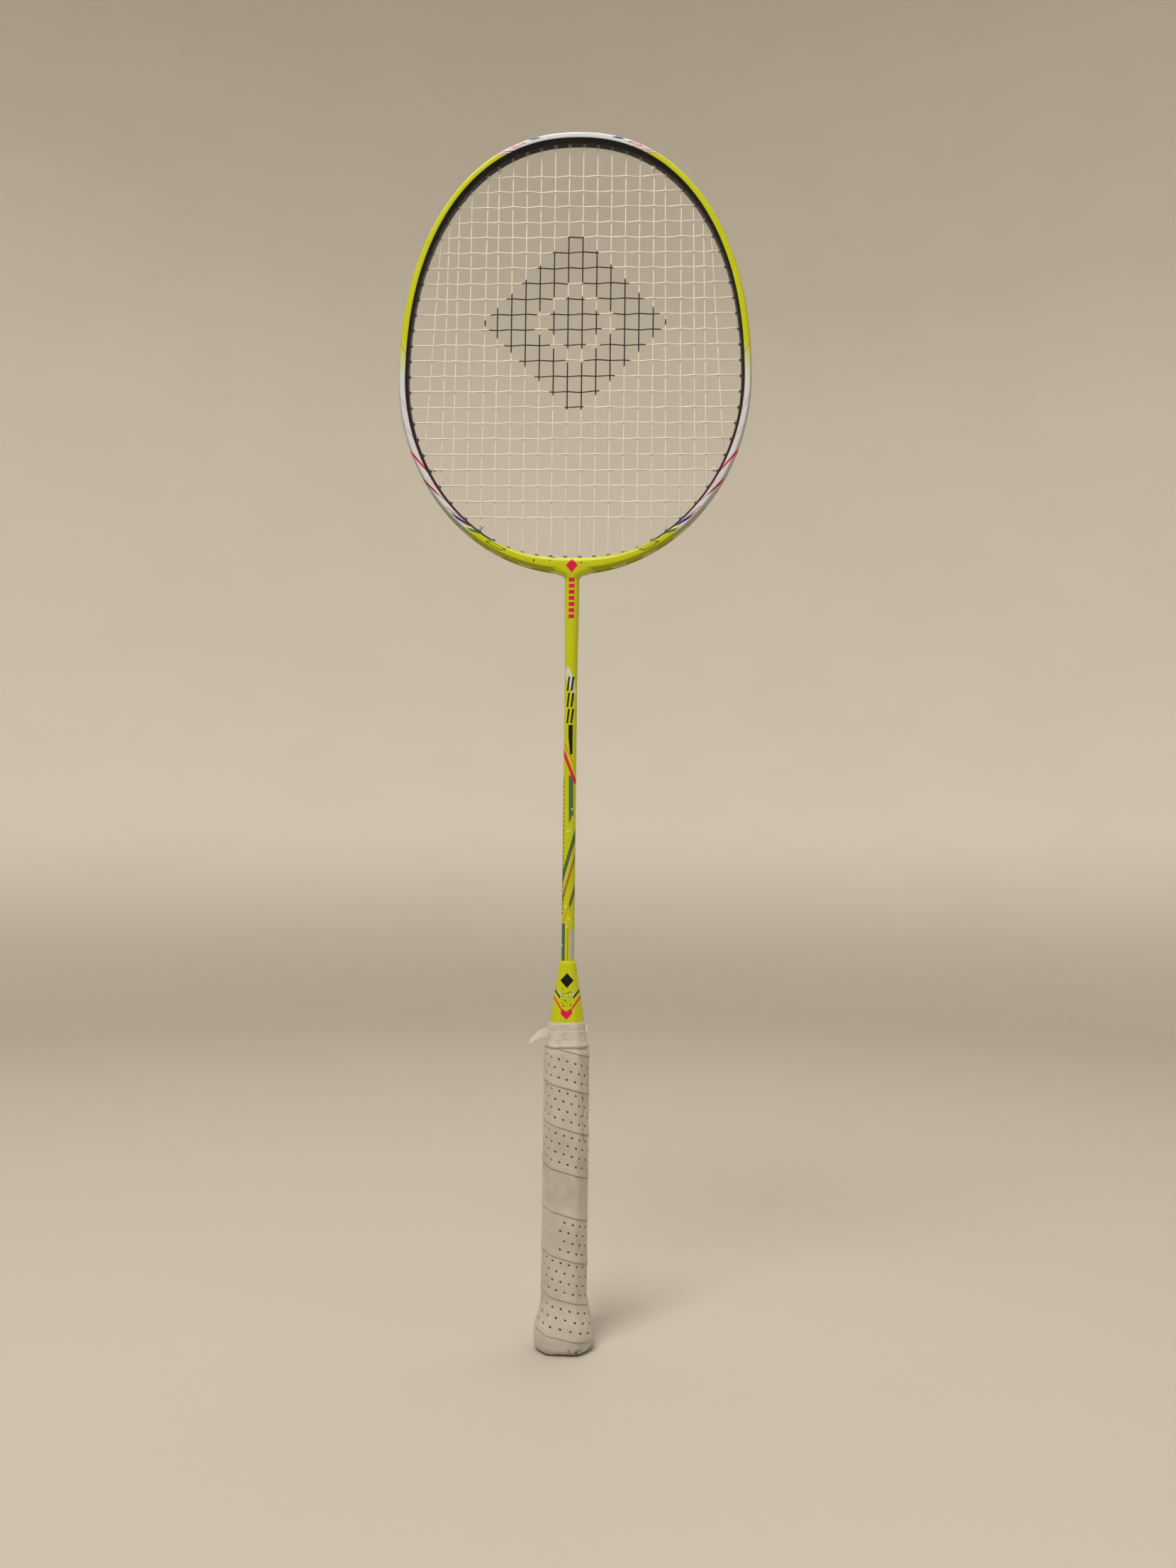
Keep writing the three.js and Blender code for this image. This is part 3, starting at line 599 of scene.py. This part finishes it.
def handle_wood():
    finish = Finish("handle_wood", srgb(196, 160, 112), 0.7)
    finish.mottle(srgb(150, 112, 70), finish.noise(0.5, 4.0, (3.0, 3.0, 0.12)), 0.42, 0.66, 0.8)
    finish.bump(finish.noise(1.2, 3.0, (3.0, 3.0, 0.12)), 0.06, 0.5)
    return finish.done()


def floor_surface():
    finish = Finish("floor_surface", srgb(184, 177, 167), 0.85, Specular_IOR_Level=0.1)
    finish.paint(srgb(234, 228, 219), finish.ramp(finish.z, -50.0, 400.0))
    finish.mottle(srgb(178, 170, 158), finish.noise(0.004, 3.0), 0.4, 0.6, 0.03)
    return finish.done()


# ---- The head's outline and string holes ------------------------------------------------------------
def rim(angle, inset=0.0, y=0.0):
    """Points on the hoop: angles from the head's centre, insets from its outer outline, heights from it."""
    angle = np.asarray(angle, dtype=float)
    cosine, sine = np.cos(angle), np.sin(angle)
    power = np.where(sine >= 0, SQUARE_TOP, SQUARE_BOTTOM)
    half_height = np.where(sine >= 0, HEAD_TOP - HEAD_MIDDLE, HEAD_MIDDLE - HEAD_BOTTOM)
    u, v = np.abs(cosine) / HEAD_HALF, np.abs(sine) / half_height
    radius = (u**power + v**power) ** (-1 / power)
    across = np.sign(cosine) * u ** (power - 1) / HEAD_HALF
    upward = np.sign(sine) * v ** (power - 1) / half_height
    length = np.hypot(across, upward)
    from_throat = np.abs(np.arctan2(cosine, -sine))
    inward = inset * (1 + THROAT_THICKEN * (1 - smooth(from_throat, 0, THROAT_REACH)))
    x = radius * cosine - inward * across / length
    z = HEAD_MIDDLE + radius * sine - inward * upward / length
    return np.stack(np.broadcast_arrays(x, y, z), axis=-1)


def angle_where(measure, low, high):
    """The angle between two angles where a rising measure of the strings' end points passes zero."""
    for _ in range(40):
        middle = (low + high) / 2
        if measure(rim(middle, STRING_END)) < 0:
            low = middle
        else:
            high = middle
    return (low + high) / 2


def mirrored(angle, side):
    return angle if side > 0 else math.pi - angle


def cross_hole(k, side):
    height = CROSS_TOP - CROSS_PITCH * (k - 1)
    return mirrored(angle_where(lambda p: p[2] - height, -math.pi / 2, math.pi / 2), side)


def own_main_hole(i, side, is_top):
    x = (TOP_PITCH if is_top else BOTTOM_PITCH) * (i - 0.5)
    if is_top:
        return mirrored(angle_where(lambda p: x - p[0], 0, math.pi / 2), side)
    return mirrored(angle_where(lambda p: p[0] - x, -math.pi / 2, 0), side)


def main_hole(i, side, is_top):
    if is_top:
        return own_main_hole(i, side, True) if i <= OWN_TOP else cross_hole(i - OWN_TOP, side)
    return own_main_hole(i, side, False) if i <= OWN_BOTTOM else cross_hole(SHARED_BELOW[i], side)


def strip_holes():
    """The holes that each grommet strip lines, by the name of its CAD node."""
    top_mains = [(i, side) for side in (-1, 1) for i in range(1, OWN_TOP + 1)]
    bottom_mains = range(1, OWN_BOTTOM + 1)
    strips = {"grommet_strip_top": [own_main_hole(i, side, True) for i, side in top_mains]}
    for side, word in ((-1, "left"), (1, "right")):
        def crosses(first, last):
            return [cross_hole(k, side) for k in range(first, last + 1)]
        strips[f"grommet_strip_upper_{word}"] = crosses(1, 5)
        strips[f"grommet_strip_side_upper_{word}"] = crosses(6, 12)
        strips[f"grommet_strip_side_lower_{word}"] = crosses(13, 18)
        strips[f"grommet_strip_lower_{word}"] = crosses(19, CROSS_COUNT)
        strips[f"grommet_strip_throat_{word}"] = [own_main_hole(i, side, False) for i in bottom_mains]
    strips["grommet_strip_upper_left"].append(cross_hole(SPARE_HOLE, -1))
    return strips


# ---- Frame, shaft and cone --------------------------------------------------------------------------
def head_frame():
    """The hoop's swept section, and a collar that flows from it into the round neck."""
    form = Form()
    other_half = [[inset, -y] for inset, y in HALF_SECTION[::-1]]
    section = softened(HALF_SECTION + other_half, 0.75)
    angles = full_turn(360)
    insets, heights = section[:, 0][None, :], section[:, 1][None, :]
    hoop = rim(angles[:, None], insets, heights)
    form.loft(hoop, loop=True, inset=np.broadcast_to(insets, hoop.shape[:2]))

    neck, fillet = SHAFT_HIGH[0], 4.0
    fillet_start = HEAD_BOTTOM - fillet
    collar_top = 423.0
    up_neck = np.linspace(FRAME_LOW[2], fillet_start, 4)
    heights = np.concatenate([up_neck, np.linspace(fillet_start, collar_top, 34)[1:]])
    rise = np.clip(heights - fillet_start, 0, fillet)
    widths = neck + fillet - np.sqrt(fillet**2 - rise**2) + 2.2 * np.clip(heights - HEAD_BOTTOM, 0, None)
    depths = neck + (RIM_HALF - 0.04 - neck) * smooth(heights, fillet_start - 2, 420.6)
    squares = 2 + 2.4 * smooth(heights, fillet_start, 419.5)
    turn = full_turn(64)
    rings = []
    for height, width, depth, square in zip(heights, widths, depths, squares):
        u, v = np.abs(np.cos(turn) / width), np.abs(np.sin(turn) / depth)
        rings.append(ring((u**square + v**square) ** (-1 / square), turn, height))
    form.loft(rings, inset=2.6)
    form.piece("hoop_and_neck", frame_paint(), ["head_frame"], 32)


def shaft():
    turn = full_turn(48)
    heights = np.linspace(SHAFT_LOW[2], SHAFT_HIGH[2] + 0.35, 60)
    thin, taper_start = 3.5, 355
    radii = thin + (SHAFT_HIGH[0] - thin) * smooth(heights, taper_start, SHAFT_HIGH[2])
    rings = [ring(radius, turn, height) for radius, height in zip(radii, heights)]
    form = Form()
    form.loft(rings)
    form.piece("painted_shaft", shaft_paint(), ["shaft"])


def octagon_radius(angle, half, hardness=30.0):
    """Distance from the axis to the handle's eight facets, with eased edges."""
    depth = half * DEPTH_RATIO
    corner_a = np.array([half * FRONT_FACET, depth])
    corner_b = np.array([half, depth * SIDE_FACET])
    edge = corner_b - corner_a
    slope = np.array([-edge[1], edge[0]]) / np.linalg.norm(edge)
    cosine, sine = np.abs(np.cos(angle)), np.abs(np.sin(angle))
    facets = [cosine / half, sine / depth, (cosine * slope[0] + sine * slope[1]) / (slope @ corner_a)]
    return sum(facet**hardness for facet in facets) ** (-1 / hardness)


def cone():
    """Round at the shaft, eight-sided at the handle, with a small rolled lip at the top."""
    turn = full_turn(96)
    bottom, top = 171.0, CONE_HIGH[2]
    round_bottom, round_top, facets_top, waist = 10.4, 4.3, 4.75, 0.35
    rings = []
    skirt = [CONE_LOW[2] + 1, bottom - 0.8, bottom - 0.2]
    for height in [*skirt, *np.linspace(bottom + 0.2, top - 0.7, 30), top - 0.3, top]:
        t = np.clip((height - bottom) / (top - bottom), 0, 1)
        facets = octagon_radius(turn, CONE_HIGH[0] * (1 - t) + facets_top * t, 40.0)
        rounded = round_bottom * (1 - t) + round_top * t - waist * math.sin(math.pi * t)
        radius = (facets**-22.0 + rounded**-22.0) ** (-1 / 22)
        shrink = 0.35 * smooth(height, top - 0.75, top) + (0.35 if height < bottom else 0.0)
        rings.append(ring(radius - shrink, turn, height))
    rings.append(ring(3.6, turn, top))
    form = Form()
    form.loft(rings)
    form.piece("faceted_cone", cone_plastic(), ["cone"])


# ---- Handle -----------------------------------------------------------------------------------------
# Heights on the front where each turn of the wrap ends, from below the butt to above the tape.
SEAMS = [-30.0, -11.0, 9.0, 27.3, 48.5, 71.1, 93.1, 115.6, 137.0, 156.3, 178.0]
HOLES_ROUND, HOLE_SPACING, HOLE_RADIUS = 17.4, 4.45, 0.56
FIRST_ROW, ROW_PITCH, ROWS = 4.6, 4.8, 4


def flare(height):
    return np.interp(height, FLARE_HEIGHTS, FLARE_SCALES)


def even_angles(turns):
    """Angles for a number of turns, spaced evenly along the handle's eight facets."""
    fine = np.linspace(0, 2 * math.pi, 721) - math.pi / 2
    points = ring(octagon_radius(fine, GRIP_HALF), fine, 0.0)
    lengths = np.concatenate([[0.0], np.cumsum(np.linalg.norm(np.diff(points, axis=0), axis=1))])
    whole = np.floor(turns)
    return np.interp(turns - whole, lengths / lengths[-1], fine) + 2 * math.pi * whole


def grip_wrap():
    """One perforated strip wound down the handle, each turn's lower margin lying over the turn below."""
    steps_per_hole, last = 14, len(SEAMS) - 1
    first_turn, last_turn = 0.45, last - 0.3
    along = np.arange(first_turn * HOLES_ROUND * steps_per_hole, last_turn * HOLES_ROUND * steps_per_hole)
    along = along / (HOLES_ROUND * steps_per_hole)
    near_hole = np.array([-1.0, -0.76, -0.58, -0.36, -0.12, 0.12, 0.36, 0.58, 0.76, 1.0])
    over_holes = [FIRST_ROW + ROW_PITCH * row + step for row in range(ROWS) for step in near_hole]
    ups = [0.0, 0.08, 0.2, 0.5, 1.1, 2.2, *over_holes, 20.8, 21.6, 22.2, 22.8, 23.4]
    along, up = np.meshgrid(along, np.array(ups), indexing="ij")
    angle = even_angles(along)
    lower_edge = np.interp(last - along, np.arange(last + 1), SEAMS)
    upper_edge = np.interp(last - along + 1, np.arange(last + 1), SEAMS)
    pitch = upper_edge - lower_edge
    up = np.minimum(up, pitch + 0.5)
    height = np.clip(lower_edge + up, WRAP_LOW[2], WRAP_HIGH[2])
    free = smooth(lower_edge + up, WRAP_LOW[2], WRAP_LOW[2] + 0.4)
    free *= smooth(lower_edge + up, WRAP_HIGH[2], WRAP_HIGH[2] - 0.4)

    row = np.round((up - FIRST_ROW) / ROW_PITCH)
    column = along * HOLES_ROUND + 0.5 * (row % 2)
    sideways = ((column + 0.5) % 1 - 0.5) * HOLE_SPACING
    distance = np.hypot(sideways, up - FIRST_ROW - ROW_PITCH * row)
    plain = (along > 4.4) & (along < 5.97)
    open_here = ~plain & (up > 2) & (up < pitch - 1.3) & (height > 8) & (height < WRAP_HIGH[2] - 3)
    hole = open_here * smooth(distance, HOLE_RADIUS + 0.1, HOLE_RADIUS - 0.25)

    lap = free * 0.3 * (1 - smooth(up, 0.8, 4.5)) * smooth(up, -0.01, 0.2)
    sunk = free * (0.7 * (1 - smooth(up, 0.0, 0.08)) + 0.5 * smooth(up, pitch - 0.1, pitch + 0.3))
    half_turns = angle / math.pi
    soft = 0.09 * uneven(3, half_turns * 8, height / 3.1)
    soft += 0.04 * uneven(4, half_turns * 28, height / 1.1)
    base = octagon_radius(angle, GRIP_HALF - 0.4, 20.0) * flare(height) - 0.7 * smooth(height, 153.5, 158.6)
    tucked = 0.8 * smooth(height, 1.6, WRAP_LOW[2])
    outer = base + lap - sunk + soft * smooth(height, WRAP_LOW[2], 6.0) - 0.85 * hole * free - tucked
    # Painted shadow at each seam: under the lapped edge, and along the margin that the next turn covers.
    seam = free * ((1 - smooth(up, 0.05, 0.5)) + smooth(up, pitch - 0.7, pitch) * 0.5)

    outside = ring(outer, angle, height)
    few = [0, 5, 15, 25, 35, len(ups) - 1]
    inside = ring(np.minimum(base - 1.5, outer - 0.3), angle, height)[:, few[::-1]]
    rings = np.concatenate([outside, inside], axis=1)

    def both_sides(values):
        return np.concatenate([values, np.broadcast_to(0.0, inside.shape[:2])], axis=1)

    form = Form()
    form.loft(rings, around=both_sides(along * HOLES_ROUND), up=both_sides(up), open=both_sides(open_here),
              seam=both_sides(np.clip(seam, 0, 1)))
    made = form.piece("perforated_wrap", wrap_foam(), ["grip_wrap"], 60)


def finishing_tape():
    """Two turns of tape: a narrow one at the cone, and a wider, ragged one over the wrap's end."""
    turn = full_turn(160)
    wave = uneven(8, turn * 10 / math.pi, turn * 0)
    form = Form()
    upper = [
        (171.1, 9.1), (171.15, 9.42), (170.8, 9.55), (169.3, 9.65), (167.4, 9.8), (165.3, 9.9),
        (165.3, 9.1),
    ]
    lower = [
        (167.1, 9.7), (167.2, 10.05), (166.8, 10.22), (164.8, 10.35), (162.3, 10.6), (160.4, 10.9),
        (159.0, 11.4), (157.8, 11.95), (157.5, 11.8), (158.4, 10.6),
    ]
    for profile, tilt, ragged in ((upper, 0.3, 0.12), (lower, 0.5, 0.45)):
        rings, edges = [], []
        for step, (height, half) in enumerate(profile):
            share = step / (len(profile) - 1)
            moved = height + tilt * np.cos(turn + 0.6) * (1 - share if profile is lower else share)
            moved = np.minimum(moved + ragged * wave * abs(share - 0.2), TAPE_HIGH[2] + 0.6)
            rings.append(ring(octagon_radius(turn, half, 18.0) + 0.05 * wave, turn, moved))
            edges.append(np.full(turn.shape, 1.0 if share < 0.12 or share > 0.75 else 0.0))
        form.loft(rings, edge=np.array(edges))
    form.piece("wound_tape", tape_vinyl(), ["finishing_tape"], 50)


def clear_film():
    """Film drawn over the grip and tape, creased down its length, with a torn tongue and a loose loop."""
    turn = full_turn(144)
    over_grip = np.linspace(FILM_LOW[2] + 1.2, 156, 90)
    heights = np.concatenate([over_grip, np.linspace(157, FILM_HIGH[2] - 0.4, 16)])
    thickness = 0.05
    outer, inner = [], []
    for height in heights:
        half = np.interp(height, [156.5, 159.5, 165.0, FILM_HIGH[2]], [GRIP_HALF + 0.3, 11.9, 10.8, 9.9])
        crease = 0.12 * uneven(11, turn * 14 / math.pi, np.full(turn.shape, height / 26))
        radius = octagon_radius(turn, half, 20.0) * flare(height) + crease
        ragged = 1.3 * uneven(12, turn * 9 / math.pi, turn * 0) * smooth(height, 163, FILM_HIGH[2])
        moved = np.minimum(height + ragged, FILM_HIGH[2])
        outer.append(ring(radius, turn, moved))
        inner.append(ring(radius - thickness, turn, moved))
    form = Form()
    form.loft(np.concatenate([outer, inner[::-1]]), loop=True, torn=0.0)
    finish = film_clear()
    form.piece("film_sleeve", finish, ["clear_film"], 60)

    tongue = Form()
    spread = np.linspace(-1, 1, 9)
    torn_pieces = [
        ((-9.0, -6.5, 166.3), (-20.3, -7.0, 160.0), 2.6),
        ((10.2, -5.5, 169.6), (12.4, -6.5, 161.8), 0.9),
    ]
    for base, tip, width in torn_pieces:
        base, tip = np.array(base), np.array(tip)
        rings = []
        for t in np.linspace(0, 1, 14):
            centre = base + (tip - base) * t + np.array([0, -2.2, 1.6]) * math.sin(math.pi * t)
            half = width * math.sqrt(max(1 - t**2.2, 0.004))
            sheet = centre + np.stack([spread * 0.25 * half, spread * 0.3 * half, spread * half], axis=-1)
            rings.append(np.concatenate([sheet, sheet[::-1] + np.array([0, 0.08, 0])]))
        tongue.loft(rings, torn=1.0)
    tongue.piece("torn_film", finish, (), 60)


def butt_cap():
    """Flat octagonal plate with an eased edge and a shallow dished centre."""
    turn = full_turn(96)
    half = CAP_HIGH[0]
    profile = [(1.6, 0.98), (0.7, 1.0), (0.25, 0.985), (0.0, 0.95), (0.0, 0.62), (0.35, 0.58), (0.35, 0.02)]
    rings = [ring(octagon_radius(turn, half * scale, 26.0), turn, height) for height, scale in profile]
    form = Form()
    form.loft(rings)
    form.piece("butt_plate", cap_plastic(), ["butt_cap"], 40)


# ---- Grommets ---------------------------------------------------------------------------------------
GROMMET_PROFILE = [
    (1.15, 0.85), (1.15, 1.75), (1.35, 1.95), (1.75, 1.9), (2.1, 1.62),
    (RIM_WIDTH - 0.3, 1.35), (RIM_WIDTH + 0.1, 1.25), (RIM_WIDTH + 0.4, 1.1),
    (GROMMET_END, 1.02), (GROMMET_END, 0.85),
]


def grommet_strip(name, angles, finish):
    """A thin strip in the groove, with a flanged tube through the frame at each hole."""
    form = Form()
    turn = full_turn(18)
    for angle in angles:
        start, end = rim(angle, 0.0), rim(angle, 10.0)
        inward = (end - start) / np.linalg.norm(end - start)
        sideways = np.cross(inward, [0, 1, 0])
        scale = np.linalg.norm(end - start) / 10.0
        rings = []
        for inset, radius in GROMMET_PROFILE:
            centre = start + inward * inset * scale
            circle = np.outer(np.cos(turn), sideways) + np.outer(np.sin(turn), [0, 1, 0])
            rings.append(centre + radius * circle)
        form.loft(rings, loop=True)
    band = softened([[1.2, -1.15], [1.2, 1.15], [1.75, 1.15], [1.75, -1.15]], 0.2, 1)
    along = np.linspace(min(angles), max(angles), 12 * len(angles))
    form.loft(rim(along[:, None], band[:, 0][None, :], band[:, 1][None, :]))
    form.piece(f"nylon_{name}", finish, [name], 40)


# ---- Strings ----------------------------------------------------------------------------------------
def groove_run(start, end, y):
    """Out of one grommet, along the groove and into the next, with eased turns."""
    way = math.copysign(1.0, end - start)
    turn = way * 0.9 / HEAD_HALF
    middle = np.linspace(start + 1.6 * turn, end - 1.6 * turn, max(4, int(abs(end - start) * 60)))
    bend = [(0.0, 2.0), (0.12, 1.25), (0.5, 0.86)]  # share of the turn, and inset, from a grommet outwards
    outward = [rim(start + share * turn, inset, y) for share, inset in bend]
    inward = [rim(end - share * turn, inset, y) for share, inset in bend[::-1]]
    return [*outward, *(rim(angle, STRING_INSET, y) for angle in middle), *inward]


def string_route(holes, y, across_bed, tail):
    """A string's route through its holes: a tail, then groove and bed in turn, then the other tail."""
    points = [*tail(holes[0])[::-1], rim(holes[0], STRING_END, y)]
    for i in range(0, len(holes), 2):
        points += groove_run(holes[i], holes[i + 1], y) + [rim(holes[i + 1], STRING_END, y)]
        if i + 2 < len(holes):
            points += [*across_bed(holes[i + 1], holes[i + 2]), rim(holes[i + 2], STRING_END, y)]
    return np.array(points + list(tail(holes[-1])))


def tube(form, points, radius, sides=8):
    """A round tube along a list of points, carried round its bends without twisting."""
    points = np.asarray(points, dtype=float)
    ahead = np.vstack([points[1:] - points[:-1], points[-1] - points[-2]])
    ahead /= np.linalg.norm(ahead, axis=1)[:, None]
    behind = np.vstack([ahead[0], ahead[:-1]])
    tangent = ahead + behind
    tangent /= np.linalg.norm(tangent, axis=1)[:, None]
    normal = np.cross(tangent[0], [0.3, 0.9, 0.2])
    turn = full_turn(sides)
    rings = []
    for point, direction in zip(points, tangent):
        normal = normal - direction * (normal @ direction)
        normal /= np.linalg.norm(normal)
        side = np.cross(direction, normal)
        rings.append(point + radius * (np.outer(np.cos(turn), normal) + np.outer(np.sin(turn), side)))
    form.loft(rings)


def main_ends(i, side):
    return [rim(main_hole(i, side, is_top), STRING_END) for is_top in (True, False)]


def crossings(k):
    """Where cross k passes the mains, from the left: x, 1 or -1 for behind or in front, and which main."""
    end = rim(cross_hole(k, 1), STRING_END)
    height, reach = end[2], end[0] - 2 * STRING_RADIUS
    found = []
    for side in (-1, 1):
        for i in range(1, MAINS_PER_SIDE + 1):
            top, bottom = main_ends(i, side)
            share = (height - bottom[2]) / (top[2] - bottom[2])
            x = bottom[0] + share * (top[0] - bottom[0])
            order = i if side > 0 else 1 - i
            if bottom[2] + 1 < height < top[2] - 1 and abs(x) < reach:
                found.append((x, 1 if (order + k) % 2 == 0 else -1, order))
    return sorted(found)


def knot_points(centre, size):
    """A small overhand knot."""
    t = np.linspace(0, 2 * math.pi, 40)
    x = size * (np.sin(t) + 2 * np.sin(2 * t)) / 3
    z = size * (np.cos(t) - 2 * np.cos(2 * t)) / 3
    y = -size * 0.55 * np.sin(3 * t)
    return centre + np.stack([x, y, z], axis=-1)


def tail_at(y):
    """A short tail that leaves its grommet to one side of the string that shares the hole."""
    def tail(angle):
        away = math.copysign(1.0, y)
        return [rim(angle, STRING_END + 1.0, y + 0.5 * away), rim(angle, STRING_END + 2.2, y + 0.9 * away)]
    return tail


def add_knots(form, holes, y):
    for hole in (holes[0], holes[-1]):
        centre = rim(hole, STRING_END + 1.5, y + 0.8 * math.copysign(1.0, y))
        tube(form, knot_points(centre, 1.05), 0.36, 6)


def spare_knot(form):
    """A bulkier double knot where the last upper main leaves its grommet."""
    hole = own_main_hole(OWN_TOP, -1, True)
    for step, size in ((1.4, 1.25), (3.0, 1.0)):
        tube(form, knot_points(rim(hole, STRING_END + step, 0.1), size), 0.4, 6)


def main_string(finish):
    """Eleven mains on each side in one run, from a knot low on the left to one low on the right."""
    order = [(i, -1) for i in range(MAINS_PER_SIDE, 0, -1)] + [(i, 1) for i in range(1, MAINS_PER_SIDE + 1)]
    holes = [cross_hole(MAIN_TIE, -1)]
    for index, (i, side) in enumerate(order):
        upwards = index % 2 == 0
        holes += [main_hole(i, side, not upwards), main_hole(i, side, upwards)]
    holes.append(cross_hole(MAIN_TIE, 1))
    crossed = {}
    for k in range(1, CROSS_COUNT + 1):
        for x, sign, main in crossings(k):
            crossed.setdefault(main, []).append((CROSS_TOP - CROSS_PITCH * (k - 1), sign))
    remaining = iter(order)

    def wavy(start, end):
        i, side = next(remaining)
        a, b = rim(start, STRING_END), rim(end, STRING_END)
        met = sorted(crossed[i if side > 0 else 1 - i], reverse=bool(a[2] > b[2]))
        heights = np.linspace(a[2], b[2], 4 * len(met) + 6)[1:-1]
        places = sorted(met)
        settled = smooth(np.abs(heights - a[2]), 0, 3.5) * smooth(np.abs(heights - b[2]), 0, 3.5)
        wave = np.interp(heights, [z for z, _ in places], [-MAIN_WAVE * sign for _, sign in places])
        share = (heights - a[2]) / (b[2] - a[2])
        x = a[0] + share * (b[0] - a[0])
        return list(np.stack([x, STRING_APART * (1 - settled) + wave * settled, heights], axis=-1))

    form = Form()
    tube(form, string_route(holes, STRING_APART, wavy, tail_at(STRING_APART)), STRING_RADIUS)
    add_knots(form, holes, STRING_APART)
    spare_knot(form)
    form.piece("woven_mains", finish, ["main_string"], 60)


def cross_string(finish):
    """Twenty-three crosses in one run, each woven over and under the mains and a little slack."""
    holes = [main_hole(OWN_TOP, 1, True)]
    for k in range(1, CROSS_COUNT + 1):
        start = 1 if k % 2 else -1
        holes += [cross_hole(k, start), cross_hole(k, -start)]
    holes.append(main_hole(OWN_BOTTOM, -1, False))
    rows = iter(range(1, CROSS_COUNT + 1))

    def woven(start, end):
        k = next(rows)
        a, b = rim(start, STRING_END), rim(end, STRING_END)
        met = crossings(k)
        knots_x = [min(a[0], b[0]), *(x for x, _, _ in met), max(a[0], b[0])]
        knots_y = [-STRING_APART, *(CROSS_WAVE * sign for _, sign, _ in met), -STRING_APART]
        spans = zip(knots_x[:-1], knots_x[1:])
        xs = np.concatenate([np.linspace(low, high, 6)[:-1] for low, high in spans])[1:]
        cell = np.clip(np.searchsorted(knots_x, xs, side="right") - 1, 0, len(knots_x) - 2)
        low, high = np.array(knots_x)[cell], np.array(knots_x)[cell + 1]
        ease = smooth(xs, low, high)
        ys = np.array(knots_y)[cell] * (1 - ease) + np.array(knots_y)[cell + 1] * ease
        drift = 0.28 * uneven(20 + k, xs / 17 + 40, xs * 0) * smooth(np.abs(xs), abs(a[0]), abs(a[0]) - 12)
        points = np.stack([xs, ys, a[2] + drift], axis=-1)
        return list(points if a[0] < b[0] else points[::-1])

    form = Form()
    tube(form, string_route(holes, -STRING_APART, woven, tail_at(-STRING_APART)), STRING_RADIUS)
    add_knots(form, holes, -STRING_APART)
    form.piece("woven_crosses", finish, ["cross_string"], 60)


# ---- Floor, lights and camera -----------------------------------------------------------------------
def backdrop():
    """A pale floor that curves up into a wall all the way round."""
    flat, wall, high = 1.4, 2.9, 3.2
    bend = np.linspace(0, math.pi / 2, 20)
    radii = np.concatenate([[0.02, 0.4, 0.9], flat + (wall - flat) * np.sin(bend), [wall]])
    heights = np.concatenate([[0, 0, 0], (wall - flat) * (1 - np.cos(bend)), [high]])
    turn = full_turn(96)
    rows = np.array([ring(radius, turn, height) for radius, height in zip(radii, heights)])
    sides = len(turn)
    faces = [list(range(sides))]
    for i in range(len(rows) - 1):
        for j in range(sides):
            right = (j + 1) % sides
            faces.append([i * sides + j, (i + 1) * sides + j, (i + 1) * sides + right, i * sides + right])
    mesh = bpy.data.meshes.new("backdrop")
    mesh.from_pydata(rows.reshape(-1, 3).tolist(), [], faces)
    mesh.shade_smooth()
    mesh.materials.append(floor_surface())
    sweep = bpy.data.objects.new("backdrop", mesh)
    bpy.context.scene.collection.objects.link(sweep)


def area_light(name, place, power, size, colour):
    """A soft square light aimed near the racket's middle."""
    data = bpy.data.lights.new(name, "AREA")
    data.energy, data.size, data.color = power, size, colour
    light = bpy.data.objects.new(name, data)
    light.location = place
    aim = Vector((0, 0, 0.38)) - Vector(place)
    light.rotation_euler = aim.to_track_quat("-Z", "Y").to_euler()
    bpy.context.scene.collection.objects.link(light)


def studio():
    area_light("key", (-0.5, -1.1, 2.3), 44, 0.8, (1.0, 0.965, 0.9))
    area_light("fill", (1.3, -1.2, 1.1), 2, 1.4, (1.0, 0.98, 0.96))
    area_light("top", (0.2, 0.4, 2.5), 22, 1.2, (1.0, 0.955, 0.88))
    world = bpy.data.worlds.new("studio")
    world.use_nodes = True
    background = world.node_tree.nodes["Background"]
    background.inputs["Color"].default_value = srgb(222, 213, 190)
    background.inputs["Strength"].default_value = 0.3
    bpy.context.scene.world = world
    bpy.context.scene.view_settings.view_transform = "Standard"


def camera():
    """A level camera in front of a racket that leans away from it and a little to the right."""
    lean, roll, swivel = math.radians(4.5), math.radians(0.59), math.radians(-2.06)
    butt = Vector((-13.14, 625.38, -299.03)) * MM  # the butt's place as the camera sees it: right, ahead, up
    tilt = Matrix.Rotation(-lean, 3, "X") @ Matrix.Rotation(roll, 3, "Y") @ Matrix.Rotation(swivel, 3, "Z")
    back = tilt.transposed()
    right, ahead, up = back @ Vector((1, 0, 0)), back @ Vector((0, 1, 0)), back @ Vector((0, 0, 1))
    data = bpy.data.cameras.new("camera")
    data.sensor_width, data.lens = 36.0, 27.03
    view = bpy.data.objects.new("camera", data)
    turn = Matrix((right, up, -ahead)).transposed()
    view.matrix_world = Matrix.Translation(back @ -butt) @ turn.to_4x4()
    bpy.context.scene.collection.objects.link(view)
    bpy.context.scene.camera = view


def finish_node(node, finish):
    """Gives a CAD node that stays its own material."""
    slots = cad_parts[node].material_slots
    for material_slot in slots:
        material_slot.material = finish


camera()
head_frame()
shaft()
cone()
grip_wrap()
finishing_tape()
clear_film()
butt_cap()
nylon = grommet_nylon()
for strip, hole_angles in strip_holes().items():
    grommet_strip(strip, hole_angles, nylon)
string = string_nylon()
main_string(string)
cross_string(string)
finish_node("t_joint", joint_metal())
finish_node("handle_core", handle_wood())
backdrop()
studio()
